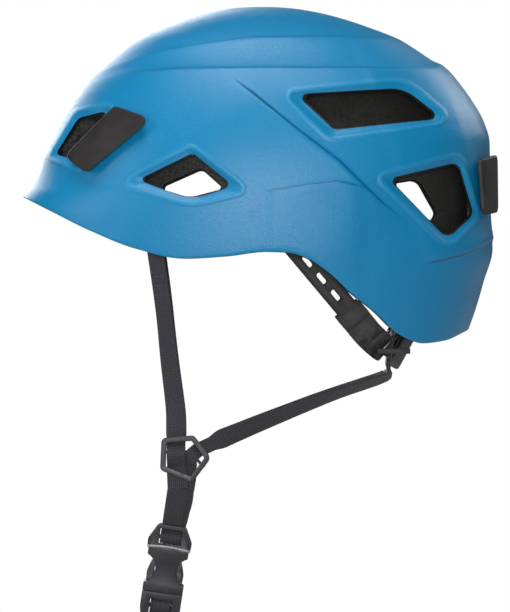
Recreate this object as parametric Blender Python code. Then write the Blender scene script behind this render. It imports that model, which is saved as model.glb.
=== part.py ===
"""Climbing helmet: hard shell, foam liner, headlamp clips, dial-adjusted nape cradle and chin straps.

Frame: +X forward, +Y to the wearer's left, +Z up. The origin is the middle of the crown pad's flat
lower face, where the top of the wearer's head rests. Sizes are in millimetres here and go into
Blender in metres through MM.
"""

from math import cos, pi, radians, sin, sqrt

import bmesh
import bpy
from mathutils import Matrix, Vector

MM = 0.001

# ---- shell: driving sizes ----
CROWN_Z = 29.6        # top of the shell above the crown pad's lower face
CROWN_X = -8.0        # where the shell is highest and widest
HALF_WIDTH = 104.0
WIDEST_Z = -88.0
NAPE_TAPER = 12.0     # how much narrower each side is 80 mm below the widest height
SHELL_WALL = 2.2
FRONT_ROUNDNESS = 2.05    # superellipse exponents of the plan outline
BACK_ROUNDNESS = 2.35
CROWN_ROUNDNESS = 2.1     # and of the cross-section
# (depth below the crown, reach from CROWN_X) along the middle of the front and of the back
FRONT_REACH = [(0, 0), (0.9, 18.7), (3.6, 32.9), (7.7, 47.1), (13, 61.3), (19.5, 75.5), (30.2, 89.7),
               (43.2, 103.9), (57.4, 114), (71.6, 122.3), (85.8, 129.4), (98, 133.4), (105, 137.2),
               (111.9, 142.4), (125, 147.5), (150, 150), (200, 150)]
BACK_REACH = [(0, 0), (0.9, 16.9), (4.7, 38.2), (11.2, 59.5), (19.5, 80.8), (27.2, 95), (37.3, 109.2),
              (45.6, 116.3), (55.6, 123.4), (68.1, 130.5), (80, 133.8), (105, 134.3), (128.5, 134.6),
              (143, 135.6), (164, 129.9), (178.2, 125.8), (200, 118)]
# (x, z) of the shell's lower edge, seen from the side
SHELL_RIM = [(-150, -158), (-130, -161), (-115, -167), (-101.5, -168.6), (-87.5, -163.4), (-73.5, -150.5),
             (-59.5, -139.4), (-45.5, -126.6), (-33, -118.5), (-22, -115.4), (-10, -114.9), (14, -117.6),
             (38.5, -119), (66.5, -113.2), (94.5, -102.1), (114, -92.5), (134.4, -82.3), (160, -70)]

# ---- foam liner and pads ----
GAP = 0.3             # between pieces that rest on each other
LINER_CLEAR = 1.1     # between shell and liner
PAD_CLEAR = 1.4       # between liner and pads
LINER_WALL = 20.0
LINER_RIM = [(-150, -146), (-128, -147), (-100, -149), (-72, -138), (-45, -116), (-20, -106), (20, -108),
             (60, -104), (90, -88), (112, -68), (140, -50)]
PAD_THICK = 6.0
CROWN_PAD_R = 26.0
CROWN_PAD_MID = 5.0   # the crown pad's thickness at its middle and near its edge
CROWN_PAD_EDGE = 1.3

# ---- vents: (x, z, corner radius) seen from the side ----
SIDE_VENT = [(65.5, -73.4, 2), (33.2, -57.8, 4), (9.5, -77, 3), (34, -85.4, 30)]
REAR_VENT = [(-80.5, -72.8, 3), (-122, -62.8, 5), (-131.5, -93.5, 6), (-115.5, -108, 6)]
UPPER_VENT = [(-26.5, -23.4, 3), (-90, -19.4, 22), (-113, -37.4, 3), (-49, -44.4, 5)]
BROW_VENT = [(114.5, -58, 2), (101, -36.6, 5), (84.5, -32.8, 3), (82, -46, 4), (100, -62, 4)]
VENT_INNER_Y = 24.0   # the vent cutters run outwards from here
LINER_VENT_SCALE = 0.84
# in the foam a vent is a wide pocket with a smaller way through it; the upper vent is a pocket only
LINER_SIDE_VENT = [(54.5, -77.8, 2), (28.5, -66.2, 4), (14.8, -78.4, 2), (35.5, -83.8, 16)]
LINER_REAR_VENT = [(-83.6, -75, 2), (-99, -72.6, 6), (-110, -92.5, 4), (-106.5, -98.5, 3)]
POCKET_SCALE = 0.95
POCKET_DEEP = {"side": 9.0, "rear": 9.0, "upper": 14.0}

# ---- headlamp clips ----
CLIP_THICK = 2.4
STRAP_ROOM = 3.6      # between a clip and the shell, for a headlamp's elastic
BROW_CLIP = [(79.5, -29.8, 4), (57, -37.8, 4), (95.6, -69.4, 4), (109, -59.4, 4)]
REAR_CLIP = [(24, -58, 4), (53, -61, 4), (50, -94, 5), (25, -92, 5)]   # (y, z) seen from behind
CLIP_FOOT = 6.0       # length of the foot that carries a clip
BROW_FOOT = (radians(50.5), -37.5)     # direction and top of each foot
REAR_FOOT = (radians(161.5), -61.0)

# ---- webbing and its fittings ----
WEB_WIDTH = 12.0
WEB_THICK = 1.1
WEB_CLEAR = 0.4       # between webbing and what it passes
ANCHOR_BAR = 2.4      # the strap anchors: tabs with a slot, and a stem that plugs into the liner
ANCHOR_HALF_H = 3.4
ANCHOR_HALF_T = 1.5
ANCHOR_STEM = 14.0
ANCHOR_STEM_W = 4.5
FRONT_PINCH = 9.4     # webbing's width inside the divider
REAR_PINCH = 7.0
FRONT_TWIST = radians(38)    # the front straps leave the shell turned from the side view
FRONT_ANCHOR = Vector((55.5, 80.0, -109.6))
REAR_ANCHOR = Vector((-84.0, 62.0, -151.0))
DIVIDER = Vector((38.0, 66.0, -236.0))
DIVIDER_THICK = 2.6
DIVIDER_BAR = 3.0     # width of its outer bars in side view
DIVIDER_OUTLINE = [(13.8, 11.6, 3), (-5.2, 13.2, 3), (-15.4, -0.1, 4), (-4.3, -14.6, 3), (14.6, -7.2, 3)]
# (x, z) ends of its inner bars
DIVIDER_INNER = [((12.5, 3.2), (-1.8, 3.6)), ((-1.6, 4.8), (-11.3, -5.6))]
INNER_BAR = 1.8
INNER_BAR_HALF_T = 0.6
DIVIDER_DROP = Vector((0.9, 0.0, -2.5))      # the right divider is set a little lower than the left
STRAP_BEND = Vector((-82.0, 62.0, -186.6))   # where the rear strap turns forward

# ---- buckle: sizes in its own frame, with its mouth at z = 0 and the plug at +z ----
BUCKLE_MOUTH = Vector((51.3, 48.5, -314.5))
BUCKLE_DOWN = Vector((0.145, -0.2, -0.969)).normalized()
SOCKET_HALF_W = 11.9
SOCKET_LENGTH = 26.5
SOCKET_HALF_T = 4.2
SOCKET_WALL = 1.4
SCALLOP_R = 9.5       # thumb openings in the socket's sides
SCALLOP_X = 15.6
SCALLOP_Z = -13.2
LADDER_LENGTH = 13.5
LADDER_HALF_W = 13.0
LADDER_HALF_T = 1.8
LADDER_BAR = 2.4
PLUG_LENGTH = 18.0
PLUG_HALF_T = 3.8
PRONG_HALF_T = 2.3
PRONG_LENGTH = 19.5
PRONG_HINGE = (7.7, 2.2)   # (x, z) of the front prong's bend line
PRONG_HINGE_R = 1.5
TONGUE_HALF_W = 2.4

# ---- nape cradle and its ratchet, in the frame of the dial ----
DIAL_CENTRE = Vector((-87.0, 0.0, -165.0))
DIAL_TILT = radians(28.0)     # how far the dial's axis points below straight back
DIAL_R = 18.0
DIAL_HIGH = 7.0
GRIP_NOTCHES = 18
PINION_TEETH = 12
TOOTH_MODULE = 0.8
PINION_R = PINION_TEETH * TOOTH_MODULE / 2
PINION_LONG = 4.2
SHAFT_R = 2.6
RUN_CLEAR = 0.25      # running clearance of the ratchet's pieces
RACK_HIGH = 5.0
RACK_LONG = 42.0
RACK_THICK = 1.6
HOUSE_HALF_W = 27.0
HOUSE_HALF_H = 14.0
HOUSE_WALL = 1.6
SCREW_R = 1.4
ARM_Y = 75.0          # the band's side arms
ARM_THICK = 1.6
ARM_WIDE = 13.0
ARM_START = Vector((-9.5, ARM_Y, -92.0))
ARM_DROP = radians(50.0)      # how steeply the arms run down and back
ARM_LONG = 94.0
WING_START = 74.0     # along the arm, where the cradle's wing begins
WING_WIDE = 17.0
WING_THICK = 2.0
SLEEVE_LONG = 9.0
ARM_SLOTS = [(34, 42, 1.6), (47, 55, 1.6), (60, 68, 1.6)]   # (start, end, half width) along the arm
PEG_R = 3.0
PEG_DEEP = 9.0        # how far the temple pegs go into the liner
RING_LIFT = 13.0      # the strap loops' height above the strap's bend
RING_WALL = 2.4
RING_TALL = 3.0
TRAVEL_BACK = 6.0     # the cradle's travel along the arms from rest, to loosen and to tighten
TRAVEL_FORWARD = 10.0


# ---------------------------------------------------------------- helpers

def smooth(points, at):
    """A smooth curve through (x, y) points, read at x: cubic, with slopes that never overshoot."""
    if at <= points[0][0]:
        return points[0][1]
    if at >= points[-1][0]:
        return points[-1][1]
    steps = [(b[1] - a[1]) / (b[0] - a[0]) for a, b in zip(points, points[1:])]

    def slope(i):
        if i == 0:
            return steps[0]
        if i == len(steps):
            return steps[-1]
        before, after = steps[i - 1], steps[i]
        if before * after <= 0:
            return 0.0
        return 2 * before * after / (before + after)

    i = next(i for i in range(len(steps)) if at <= points[i + 1][0])
    (x0, y0), (x1, y1) = points[i], points[i + 1]
    h = x1 - x0
    t = (at - x0) / h
    return ((2 * t**3 - 3 * t**2 + 1) * y0 + (t**3 - 2 * t**2 + t) * h * slope(i)
            + (3 * t**2 - 2 * t**3) * y1 + (t**3 - t**2) * h * slope(i + 1))


def material(name, colour, roughness, metallic=0.0):
    found = bpy.data.materials.get(name)
    if found:
        return found
    made = bpy.data.materials.new(name)
    made.use_nodes = True
    shader = made.node_tree.nodes["Principled BSDF"]
    shader.inputs["Base Color"].default_value = (*colour, 1)
    shader.inputs["Roughness"].default_value = roughness
    shader.inputs["Metallic"].default_value = metallic
    return made


def shell_blue():
    return material("shell_blue", (0.02, 0.19, 0.42), 0.42)


def foam_black():
    return material("foam_black", (0.02, 0.02, 0.02), 0.85)


def clip_grey():
    return material("clip_grey", (0.035, 0.032, 0.034), 0.5)


def nylon_black():
    return material("nylon_black", (0.012, 0.012, 0.013), 0.4)


def webbing_black():
    return material("webbing_black", (0.022, 0.022, 0.026), 0.8)


def pad_grey():
    return material("pad_grey", (0.05, 0.05, 0.055), 0.95)


def steel():
    return material("steel", (0.6, 0.6, 0.62), 0.3, 1.0)


def add_mesh(name, verts, faces, look, parent=None):
    """A closed mesh object from millimetre points, with its faces turned outwards."""
    mesh = bpy.data.meshes.new(name)
    mesh.from_pydata([Vector(v) * MM for v in verts], [], faces)
    bm = bmesh.new()
    bm.from_mesh(mesh)
    bmesh.ops.recalc_face_normals(bm, faces=bm.faces)
    bm.to_mesh(mesh)
    bm.free()
    mesh.shade_smooth()
    mesh.set_sharp_from_angle(angle=radians(35))
    mesh.materials.append(look)
    made = bpy.data.objects.new(name, mesh)
    bpy.context.scene.collection.objects.link(made)
    made.parent = parent
    return made


def helper(made):
    """Marks a cutter or a shape that a Boolean joins to another."""
    made.hide_render = True
    made.display_type = "WIRE"
    return made


def boolean(target, operation, other):
    helper(other)
    step = target.modifiers.new(f"{operation.lower()}_{other.name}", "BOOLEAN")
    step.operation = operation
    step.object = other
    step.solver = "EXACT"
    return target


def rounded(corners, steps=4):
    """An outline of (x, y, radius) corners as points, each corner an arc."""
    points = []
    count = len(corners)
    for i in range(count):
        here = Vector(corners[i][:2])
        before = Vector(corners[i - 1][:2])
        after = Vector(corners[(i + 1) % count][:2])
        to_before, to_after = (before - here).normalized(), (after - here).normalized()
        half = to_before.angle(to_after) / 2
        room = 0.48 * min((before - here).length, (after - here).length)
        run = min(corners[i][2] / abs(sin(half) / cos(half)), room)
        radius = run * abs(sin(half) / cos(half))
        centre = here + (to_before + to_after).normalized() * (radius / sin(half))
        start = here + to_before * run - centre
        turn = start.angle_signed(here + to_after * run - centre)
        for k in range(steps + 1):
            share = turn * k / steps
            spoke = Vector((start.x * cos(share) + start.y * sin(share),
                            start.y * cos(share) - start.x * sin(share)))
            points.append(centre + spoke)
    return points


def prism(name, outline, low, high, axis, look, parent=None):
    """An outline extruded from low to high along an axis. The outline's two values fill the others."""
    order = {"X": lambda p, h: (h, p[0], p[1]), "Y": lambda p, h: (p[0], h, p[1]),
             "Z": lambda p, h: (p[0], p[1], h)}[axis]
    count = len(outline)
    verts = [order(p, low) for p in outline] + [order(p, high) for p in outline]
    faces = [list(range(count)), list(range(2 * count - 1, count - 1, -1))]
    faces += [[i, (i + 1) % count, count + (i + 1) % count, count + i] for i in range(count)]
    return add_mesh(name, verts, faces, look, parent)


def box(name, low, high, look, parent=None):
    outline = [(low[0], low[1]), (high[0], low[1]), (high[0], high[1]), (low[0], high[1])]
    return prism(name, outline, low[2], high[2], "Z", look, parent)


def circle(radius, count, centre=(0, 0)):
    return [(centre[0] + radius * cos(2 * pi * k / count), centre[1] + radius * sin(2 * pi * k / count))
            for k in range(count)]


def turned(name, profile, look, parent=None, sides=24):
    """A solid of revolution about local Z from (radius, z) points that start and end on the axis."""
    inner = profile[1:-1]
    verts = [(0, 0, profile[0][1]), (0, 0, profile[-1][1])]
    for radius, z in inner:
        verts += [(x, y, z) for x, y in circle(radius, sides)]
    faces = []
    for k in range(sides):
        after = (k + 1) % sides
        faces.append([0, 2 + k, 2 + after])
        for ring in range(len(inner) - 1):
            a, b = 2 + ring * sides, 2 + (ring + 1) * sides
            faces.append([a + k, b + k, b + after, a + after])
        last = 2 + (len(inner) - 1) * sides
        faces.append([1, last + after, last + k])
    return add_mesh(name, verts, faces, look, parent)


def ribbon(name, path, across, width, thick, look, parent=None):
    """A flat band along a path. across(i) is its width's direction at point i, and width(i) its width."""
    verts, faces = [], []
    count = len(path)
    for i, point in enumerate(path):
        along = (path[min(i + 1, count - 1)] - path[max(i - 1, 0)]).normalized()
        side = across(i)
        side = (side - along * side.dot(along)).normalized()
        up = along.cross(side).normalized()
        for a, b in ((-1, -1), (1, -1), (1, 1), (-1, 1)):
            verts.append(point + side * (a * width(i) / 2) + up * (b * thick / 2))
    for i in range(count - 1):
        for k in range(4):
            after = (k + 1) % 4
            faces.append([4 * i + k, 4 * i + after, 4 * i + 4 + after, 4 * i + 4 + k])
    faces += [[3, 2, 1, 0], [4 * count - 4, 4 * count - 3, 4 * count - 2, 4 * count - 1]]
    return add_mesh(name, verts, faces, look, parent)


def curve_points(knots, steps):
    """Points along a Catmull-Rom curve through the knots."""
    padded = [2 * knots[0] - knots[1], *knots, 2 * knots[-1] - knots[-2]]
    points = []
    for i in range(1, len(padded) - 2):
        a, b, c, d = padded[i - 1:i + 3]
        for k in range(steps):
            t = k / steps
            points.append(0.5 * (2 * b + (c - a) * t + (2 * a - 5 * b + 4 * c - d) * t**2
                                 + (3 * b - a - 3 * c + d) * t**3))
    return [*points, knots[-1].copy()]


def mirrored(point, side):
    """A point of the left side, or its mirror image on the right where side is -1."""
    return Vector((point[0], point[1] * side, point[2]))


def sides():
    return (("left", 1), ("right", -1))


# ---------------------------------------------------------------- the head-shaped surfaces

def reach(points, depth):
    """A profile's reach at a depth. It grows with the depth's root, so the crown is round."""
    rooted = [(sqrt(d), r) for d, r in points]
    return smooth(rooted, sqrt(max(depth, 0)))


def half_width(z):
    if z >= WIDEST_Z:
        share = min((z - WIDEST_Z) / (CROWN_Z - WIDEST_Z), 1.0)
        return HALF_WIDTH * (1 - share**CROWN_ROUNDNESS) ** (1 / CROWN_ROUNDNESS)
    return HALF_WIDTH - NAPE_TAPER * ((WIDEST_Z - z) / 80) ** 2


def skin(angle, z):
    """A point of the shell's outer surface, by direction in plan and height."""
    c, s = cos(angle), sin(angle)
    front = c >= 0
    power = FRONT_ROUNDNESS if front else BACK_ROUNDNESS
    ahead = reach(FRONT_REACH if front else BACK_REACH, CROWN_Z - z)
    stretch = (abs(c)**power + abs(s)**power) ** (-1 / power)
    return Vector((CROWN_X + ahead * c * stretch, half_width(z) * s * stretch, z))


def inset_skin(angle, z, inset):
    """The skin moved inwards along its normal, or outwards where inset is negative."""
    if CROWN_Z - z < 0.02:
        return Vector((CROWN_X, 0, z - inset))
    small = 0.02
    around = skin(angle + small, z) - skin(angle - small, z)
    lower = max(CROWN_Z - z, 0.3) * 0.05
    down = skin(angle, z - lower) - skin(angle, z + lower)
    inward = around.cross(down).normalized()
    here = skin(angle, z)
    if inward.dot(Vector((CROWN_X, 0, WIDEST_Z)) - here) < 0:
        inward = -inward
    return here + inward * inset


def rim_height(angle, rim, inset):
    """The z of the skin's own point where a meridian of the inset skin meets the rim."""
    low, high = -185.0, CROWN_Z - 20
    for _ in range(40):
        middle = (low + high) / 2
        point = inset_skin(angle, middle, inset)
        if point.z > smooth(rim, point.x):
            high = middle
        else:
            low = middle
    return (low + high) / 2


def dome(name, rim, outer, inner, columns, rings, look):
    """A closed shell between two insets of the skin, from the crown down to a rim."""
    verts, faces = [], []
    layers = []
    for inset in (outer, inner):
        first = len(verts)
        verts.append(inset_skin(0, CROWN_Z, inset))
        for column in range(columns):
            angle = 2 * pi * (column + 0.5) / columns
            bottom = CROWN_Z - rim_height(angle, rim, inset)
            for ring in range(1, rings + 1):
                share = ring / rings
                depth = bottom * (1 - cos(share * pi / 2)) ** 1.05
                verts.append(inset_skin(angle, CROWN_Z - depth, inset))
        layers.append(first)
    for first in layers:
        for column in range(columns):
            here = first + 1 + column * rings
            after = first + 1 + (column + 1) % columns * rings
            faces.append([first, here, after])
            faces += [[here + r, here + r + 1, after + r + 1, after + r] for r in range(rings - 1)]
    for column in range(columns):
        a = layers[0] + (column + 1) * rings
        b = layers[0] + ((column + 1) % columns + 1) * rings
        c = layers[1] + ((column + 1) % columns + 1) * rings
        d = layers[1] + (column + 1) * rings
        faces.append([a, d, c, b])
    return add_mesh(name, verts, faces, look)


def patch(name, angles, heights, outer, inner, look, columns=10, rows=6):
    """A closed pad between two insets of the skin, over a range of directions and heights."""
    verts, faces = [], []
    for inset in (outer, inner):
        for i in range(columns + 1):
            angle = angles[0] + (angles[1] - angles[0]) * i / columns
            for k in range(rows + 1):
                verts.append(inset_skin(angle, heights[0] + (heights[1] - heights[0]) * k / rows, inset))
    layer = (columns + 1) * (rows + 1)

    def at(i, k, level):
        return level * layer + i * (rows + 1) + k

    for i in range(columns):
        for k in range(rows):
            for level in (0, 1):
                faces.append([at(i, k, level), at(i + 1, k, level), at(i + 1, k + 1, level),
                              at(i, k + 1, level)])
    for i in range(columns):
        for k in (0, rows):
            faces.append([at(i, k, 0), at(i + 1, k, 0), at(i + 1, k, 1), at(i, k, 1)])
    for k in range(rows):
        for i in (0, columns):
            faces.append([at(i, k, 0), at(i, k + 1, 0), at(i, k + 1, 1), at(i, k, 1)])
    return add_mesh(name, verts, faces, look)


# ---------------------------------------------------------------- shell, liner, pads

def scaled(corners, share):
    middle = [sum(c[k] for c in corners) / len(corners) for k in (0, 1)]
    return [(middle[0] + (x - middle[0]) * share, middle[1] + (y - middle[1]) * share, r * share)
            for x, y, r in corners]


def vent_cutters(outlines, tag):
    """The vents of both sides as bodies to cut away."""
    cutters = []
    for name, corners in outlines.items():
        for side_name, side in sides():
            low, high = sorted((side * VENT_INNER_Y, side * (HALF_WIDTH + 10)))
            cutters.append(prism(f"cut_{tag}_{name}_{side_name}", rounded(corners), low, high, "Y",
                                 shell_blue()))
    return cutters


def make_shell():
    shell = dome("outer_shell", SHELL_RIM, 0, SHELL_WALL, 36, 13, shell_blue())
    outlines = {"side": SIDE_VENT, "rear": REAR_VENT, "upper": UPPER_VENT, "brow": BROW_VENT}
    for cutter in vent_cutters(outlines, "shell"):
        boolean(shell, "DIFFERENCE", cutter)


def make_liner():
    outer = SHELL_WALL + LINER_CLEAR
    liner = dome("foam_liner", LINER_RIM, outer, outer + LINER_WALL, 36, 9, foam_black())
    for name, corners in (("side", SIDE_VENT), ("rear", REAR_VENT), ("upper", UPPER_VENT)):
        for cutter in vent_cutters({name: scaled(corners, POCKET_SCALE)}, "pocket"):
            slab = dome("join_slab", LINER_RIM, outer - 3, outer + POCKET_DEEP[name], 36, 9, foam_black())
            boolean(cutter, "INTERSECT", slab)
            boolean(liner, "DIFFERENCE", cutter)
    ways = {"side": LINER_SIDE_VENT, "rear": LINER_REAR_VENT, "brow": scaled(BROW_VENT, LINER_VENT_SCALE)}
    for cutter in vent_cutters(ways, "way"):
        boolean(liner, "DIFFERENCE", cutter)
    return liner


def make_pads():
    face = SHELL_WALL + LINER_CLEAR + LINER_WALL + PAD_CLEAR
    patch("brow_pad", (radians(-42), radians(42)), (-64, -40), face, face + PAD_THICK, pad_grey(), 9, 3)
    for name, side in sides():
        angles = sorted((radians(side * 70), radians(side * 112)))
        patch(f"temple_pad_{name}", angles, (-48, -24), face, face + PAD_THICK, pad_grey(), 5, 3)
    rise = CROWN_PAD_MID - CROWN_PAD_EDGE
    arch = [(CROWN_PAD_R * k / 6, CROWN_PAD_MID - rise * (k / 6) ** 2) for k in range(1, 7)]
    profile = [(0, CROWN_PAD_MID), *arch, (CROWN_PAD_R, 1.0), (CROWN_PAD_R - 1, 0), (0, 0)]
    turned("crown_pad", profile, pad_grey())


# ---------------------------------------------------------------- headlamp clips

def conforming_plate(name, corners, axis, span, look):
    """A plate that follows the skin at clip height, trimmed to an outline seen along an axis."""
    outset = STRAP_ROOM
    angles, heights = span
    plate = patch(name, angles, heights, -(outset + CLIP_THICK), -outset, look, 8, 6)
    reach_out = HALF_WIDTH + 60
    low, high = (VENT_INNER_Y, reach_out) if axis == "Y" else (-reach_out - 20, -60)
    if axis == "Y" and angles[0] < 0:
        low, high = -high, -low
    trim = prism(f"trim_{name}", rounded(corners), low, high, axis, look)
    return boolean(plate, "INTERSECT", trim)


def add_foot(plate, angle, heights, width, look):
    """The block that joins a clip to the shell, at its upper end."""
    foot = patch(f"foot_{plate.name}", (angle - width, angle + width), heights, -(STRAP_ROOM + 0.8), -GAP,
                 look, 3, 3)
    boolean(plate, "UNION", foot)


def hinge_on_shell(plate, angle, height):
    """Parents a clip to an empty on the line where its foot bends, at the foot's upper edge."""
    pivot = bpy.data.objects.new(f"{plate.name}_hinge", None)
    bpy.context.scene.collection.objects.link(pivot)
    pivot.location = inset_skin(angle, height, -GAP) * MM
    plate.parent = pivot
    plate.matrix_parent_inverse = Matrix.Translation(-pivot.location)


def make_clips():
    for name, side in sides():
        look = clip_grey()
        angles = sorted((radians(side * 22), radians(side * 66)))
        brow = conforming_plate(f"brow_clip_{name}", BROW_CLIP, "Y", (angles, (-72, -28)), look)
        turn, top = side * BROW_FOOT[0], BROW_FOOT[1]
        add_foot(brow, turn, (top - CLIP_FOOT, top), radians(3.2), look)
        hinge_on_shell(brow, turn, top)
        corners = [(y * side, z, r) for y, z, r in REAR_CLIP][::side]
        angles = sorted((side * radians(180 - 42), side * radians(180 - 4)))
        rear = conforming_plate(f"rear_clip_{name}", corners, "X", (angles, (-98, -54)), look)
        turn, top = side * REAR_FOOT[0], REAR_FOOT[1]
        add_foot(rear, turn, (top - CLIP_FOOT, top), radians(4.5), look)
        hinge_on_shell(rear, turn, top)


# ---------------------------------------------------------------- straps

def make_anchor(name, centre, width_way, liner):
    """A slotted plastic tab plugged into the liner's edge. Its lower bar holds a strap's loop."""
    look = nylon_black()
    half_w = WEB_WIDTH / 2 + WEB_CLEAR + ANCHOR_BAR
    half_slot = WEB_WIDTH / 2 + WEB_CLEAR

    def turned_box(box_name, half, low, high, thick):
        corners = [centre + width_way * (a * half) + width_way.cross(Vector((0, 0, 1))) * (b * thick)
                   for a, b in ((-1, -1), (1, -1), (1, 1), (-1, 1))]
        return prism(box_name, [(p.x, p.y) for p in corners], centre.z + low, centre.z + high, "Z", look)

    tab = turned_box(name, half_w, -ANCHOR_HALF_H, ANCHOR_HALF_H, ANCHOR_HALF_T)
    stem = turned_box(f"join_stem_{name}", ANCHOR_STEM_W, 1.8, ANCHOR_STEM, ANCHOR_HALF_T - 0.3)
    boolean(tab, "UNION", stem)
    boolean(tab, "DIFFERENCE", turned_box(f"cut_{name}", half_slot, -1.2, 1.0, ANCHOR_HALF_T + 2))
    pocket = turned_box(f"cut_pocket_{name}", ANCHOR_STEM_W + GAP, -4, ANCHOR_STEM + GAP,
                        ANCHOR_HALF_T + GAP)
    boolean(liner, "DIFFERENCE", pocket)


def inset_outline(corners, by):
    """A convex outline moved inwards, with smaller corner radii."""
    centre = Vector((sum(c[0] for c in corners), sum(c[1] for c in corners))) / len(corners)
    lines = []
    for i, here in enumerate(corners):
        start, end = Vector(here[:2]), Vector(corners[(i + 1) % len(corners)][:2])
        along = (end - start).normalized()
        inward = Vector((-along.y, along.x))
        if inward.dot(centre - start) < 0:
            inward = -inward
        lines.append((start + inward * by, along))
    moved = []
    for i, corner in enumerate(corners):
        (a, u), (b, v) = lines[i - 1], lines[i]
        t = (b - a).cross(v) / u.cross(v)
        point = a + u * t
        moved.append((point.x, point.y, max(corner[2] - by, 0.6)))
    return moved


def divider_centre(side):
    return mirrored(DIVIDER, side) + (DIVIDER_DROP if side < 0 else Vector())


def bar_between(name, start, end, width, low, high, look):
    """A straight bar in side view between two (x, z) points, from y = low to high."""
    start, end = Vector(start), Vector(end)
    along = (end - start).normalized()
    square = Vector((-along.y, along.x)) * (width / 2)
    return prism(name, [start + square, end + square, end - square, start - square], low, high, "Y", look)


def make_divider(name, side):
    """A five-sided frame. Each strap goes behind its outer bar and over the bar inside it."""
    look = nylon_black()
    centre = divider_centre(side)
    around = [(centre.x + x, centre.z + z, r) for x, z, r in DIVIDER_OUTLINE]
    low, high = centre.y - DIVIDER_THICK / 2, centre.y + DIVIDER_THICK / 2
    frame = prism(f"divider_{name}", rounded(around), low, high, "Y", look)
    window = rounded(inset_outline(around, DIVIDER_BAR), 3)
    boolean(frame, "DIFFERENCE", prism(f"cut_divider_{name}", window, low - 2, high + 2, "Y", look))
    for k, (start, end) in enumerate(DIVIDER_INNER):
        ends = [(centre.x + p[0], centre.z + p[1]) for p in (start, end)]
        bar = bar_between(f"join_inner_{k}_{name}", *ends, INNER_BAR, centre.y - INNER_BAR_HALF_T,
                          centre.y + INNER_BAR_HALF_T, look)
        boolean(frame, "UNION", bar)


def spread(start, end, count, turn_from=0.0, turn_to=1.0):
    """The width direction along a strap, turning evenly between two shares of its points."""
    def way(i):
        share = (i / (count - 1) - turn_from) / (turn_to - turn_from)
        return start.lerp(end, min(1.0, max(0.0, share)))
    return way


def pinched(path, top, bottom, narrow):
    """The webbing's full width, narrowed between two heights where it passes through a divider."""
    def wide(i):
        edge = min(abs(path[i].z - top), abs(path[i].z - bottom)) / 2.5
        inside = bottom < path[i].z < top
        return narrow if inside else narrow + (WEB_WIDTH - narrow) * min(1, edge)
    return wide


def full_width(_):
    return WEB_WIDTH


def make_straps(liner):
    web = webbing_black()
    over = INNER_BAR_HALF_T + WEB_CLEAR + WEB_THICK / 2
    behind = DIVIDER_THICK / 2 + WEB_CLEAR + WEB_THICK / 2
    layer = WEB_THICK + GAP
    for name, side in sides():
        make_divider(name, side)
        centre = divider_centre(side)

        def at(x, z, y):
            return centre + Vector((x, side * y, z))

        front_way = Vector((cos(FRONT_TWIST), -side * sin(FRONT_TWIST), 0))
        top = mirrored(FRONT_ANCHOR, side)
        make_anchor(f"front_anchor_{name}", top, front_way, liner)
        hang = top + Vector((0, 0, -ANCHOR_HALF_H - GAP))
        low = at(5.6, 30, -1.2)
        knots = [hang, hang.lerp(low, 0.35) + Vector((-0.5, 0, 0)), hang.lerp(low, 0.7), low,
                 at(5.1, 16, -behind), at(5.2, 11.4, -behind), at(5.2, 9.3, -behind),
                 at(5.2, 7.2, -behind + 1.3), at(5.2, 4.9, over - 0.6), at(5.2, 2.8, over + 0.1),
                 at(5.2, 0.6, over - 0.2), at(5.1, -2.4, -0.6), at(5.0, -4.9, -behind + 0.1),
                 at(4.7, -7.4, -behind), at(4.2, -16, -behind)]
        path = curve_points(knots, 2)
        way = spread(front_way, Vector((1, 0, 0)), len(path), 0.1, 0.3)
        wide = pinched(path, centre.z + 11, centre.z - 6, FRONT_PINCH)
        ribbon(f"front_strap_{name}", path, way, wide, WEB_THICK, web)

        rear_way = Vector((0, 1, 0))
        top = mirrored(REAR_ANCHOR, side)
        make_anchor(f"rear_anchor_{name}", top, rear_way, liner)
        bend = mirrored(STRAP_BEND, side)
        slope = Vector((0.63, 0, 0.776))
        aim = at(-22, 12, 0)
        last = -behind - layer
        knots = [top + Vector((0, 0, -ANCHOR_HALF_H - GAP)), top.lerp(bend, 0.5) + Vector((-0.6, 0, 0)),
                 bend + Vector((0.2, 0, 5.0)), bend, bend + Vector((5.5, 0, -3.6)), bend.lerp(aim, 0.35),
                 bend.lerp(aim, 0.7), at(-25, 12.6, -1.4), at(-14.5, 7.6, -behind),
                 at(-10.9, 5.9, -behind - 0.1), at(-8.2, 4.8, -behind - 0.3), at(-6.9, 3.9, -0.8),
                 at(-6.0, 3.2, over - 0.2), at(-4.9, 2.3, over + 0.4), at(-3.6, 0.9, over + 0.3),
                 at(-3.1, -1.6, -0.6), at(-2.9, -3.6, -behind - 0.8), at(-2.2, -6.0, last - 0.2),
                 at(-1.0, -9.6, last - 0.1), at(0.2, -16, last - 0.1)]
        path = curve_points(knots, 2)
        count = len(path)

        def way(i, side=side, count=count, slope=slope):
            share = i / (count - 1)
            edge_on = Vector((0.12, side * 0.88, 0.46))
            if share < 0.25:
                return Vector((0, side, 0)).lerp(edge_on, share / 0.25)
            if share < 0.44:
                return edge_on.lerp(slope, (share - 0.25) / 0.19)
            if share < 0.74:
                return slope
            return slope.lerp(Vector((1, 0, 0.12)), min(1, (share - 0.74) / 0.14))

        wide = pinched(path, centre.z + 8.4, centre.z - 6, REAR_PINCH)
        ribbon(f"rear_strap_{name}", path, way, wide, WEB_THICK, web)


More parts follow.
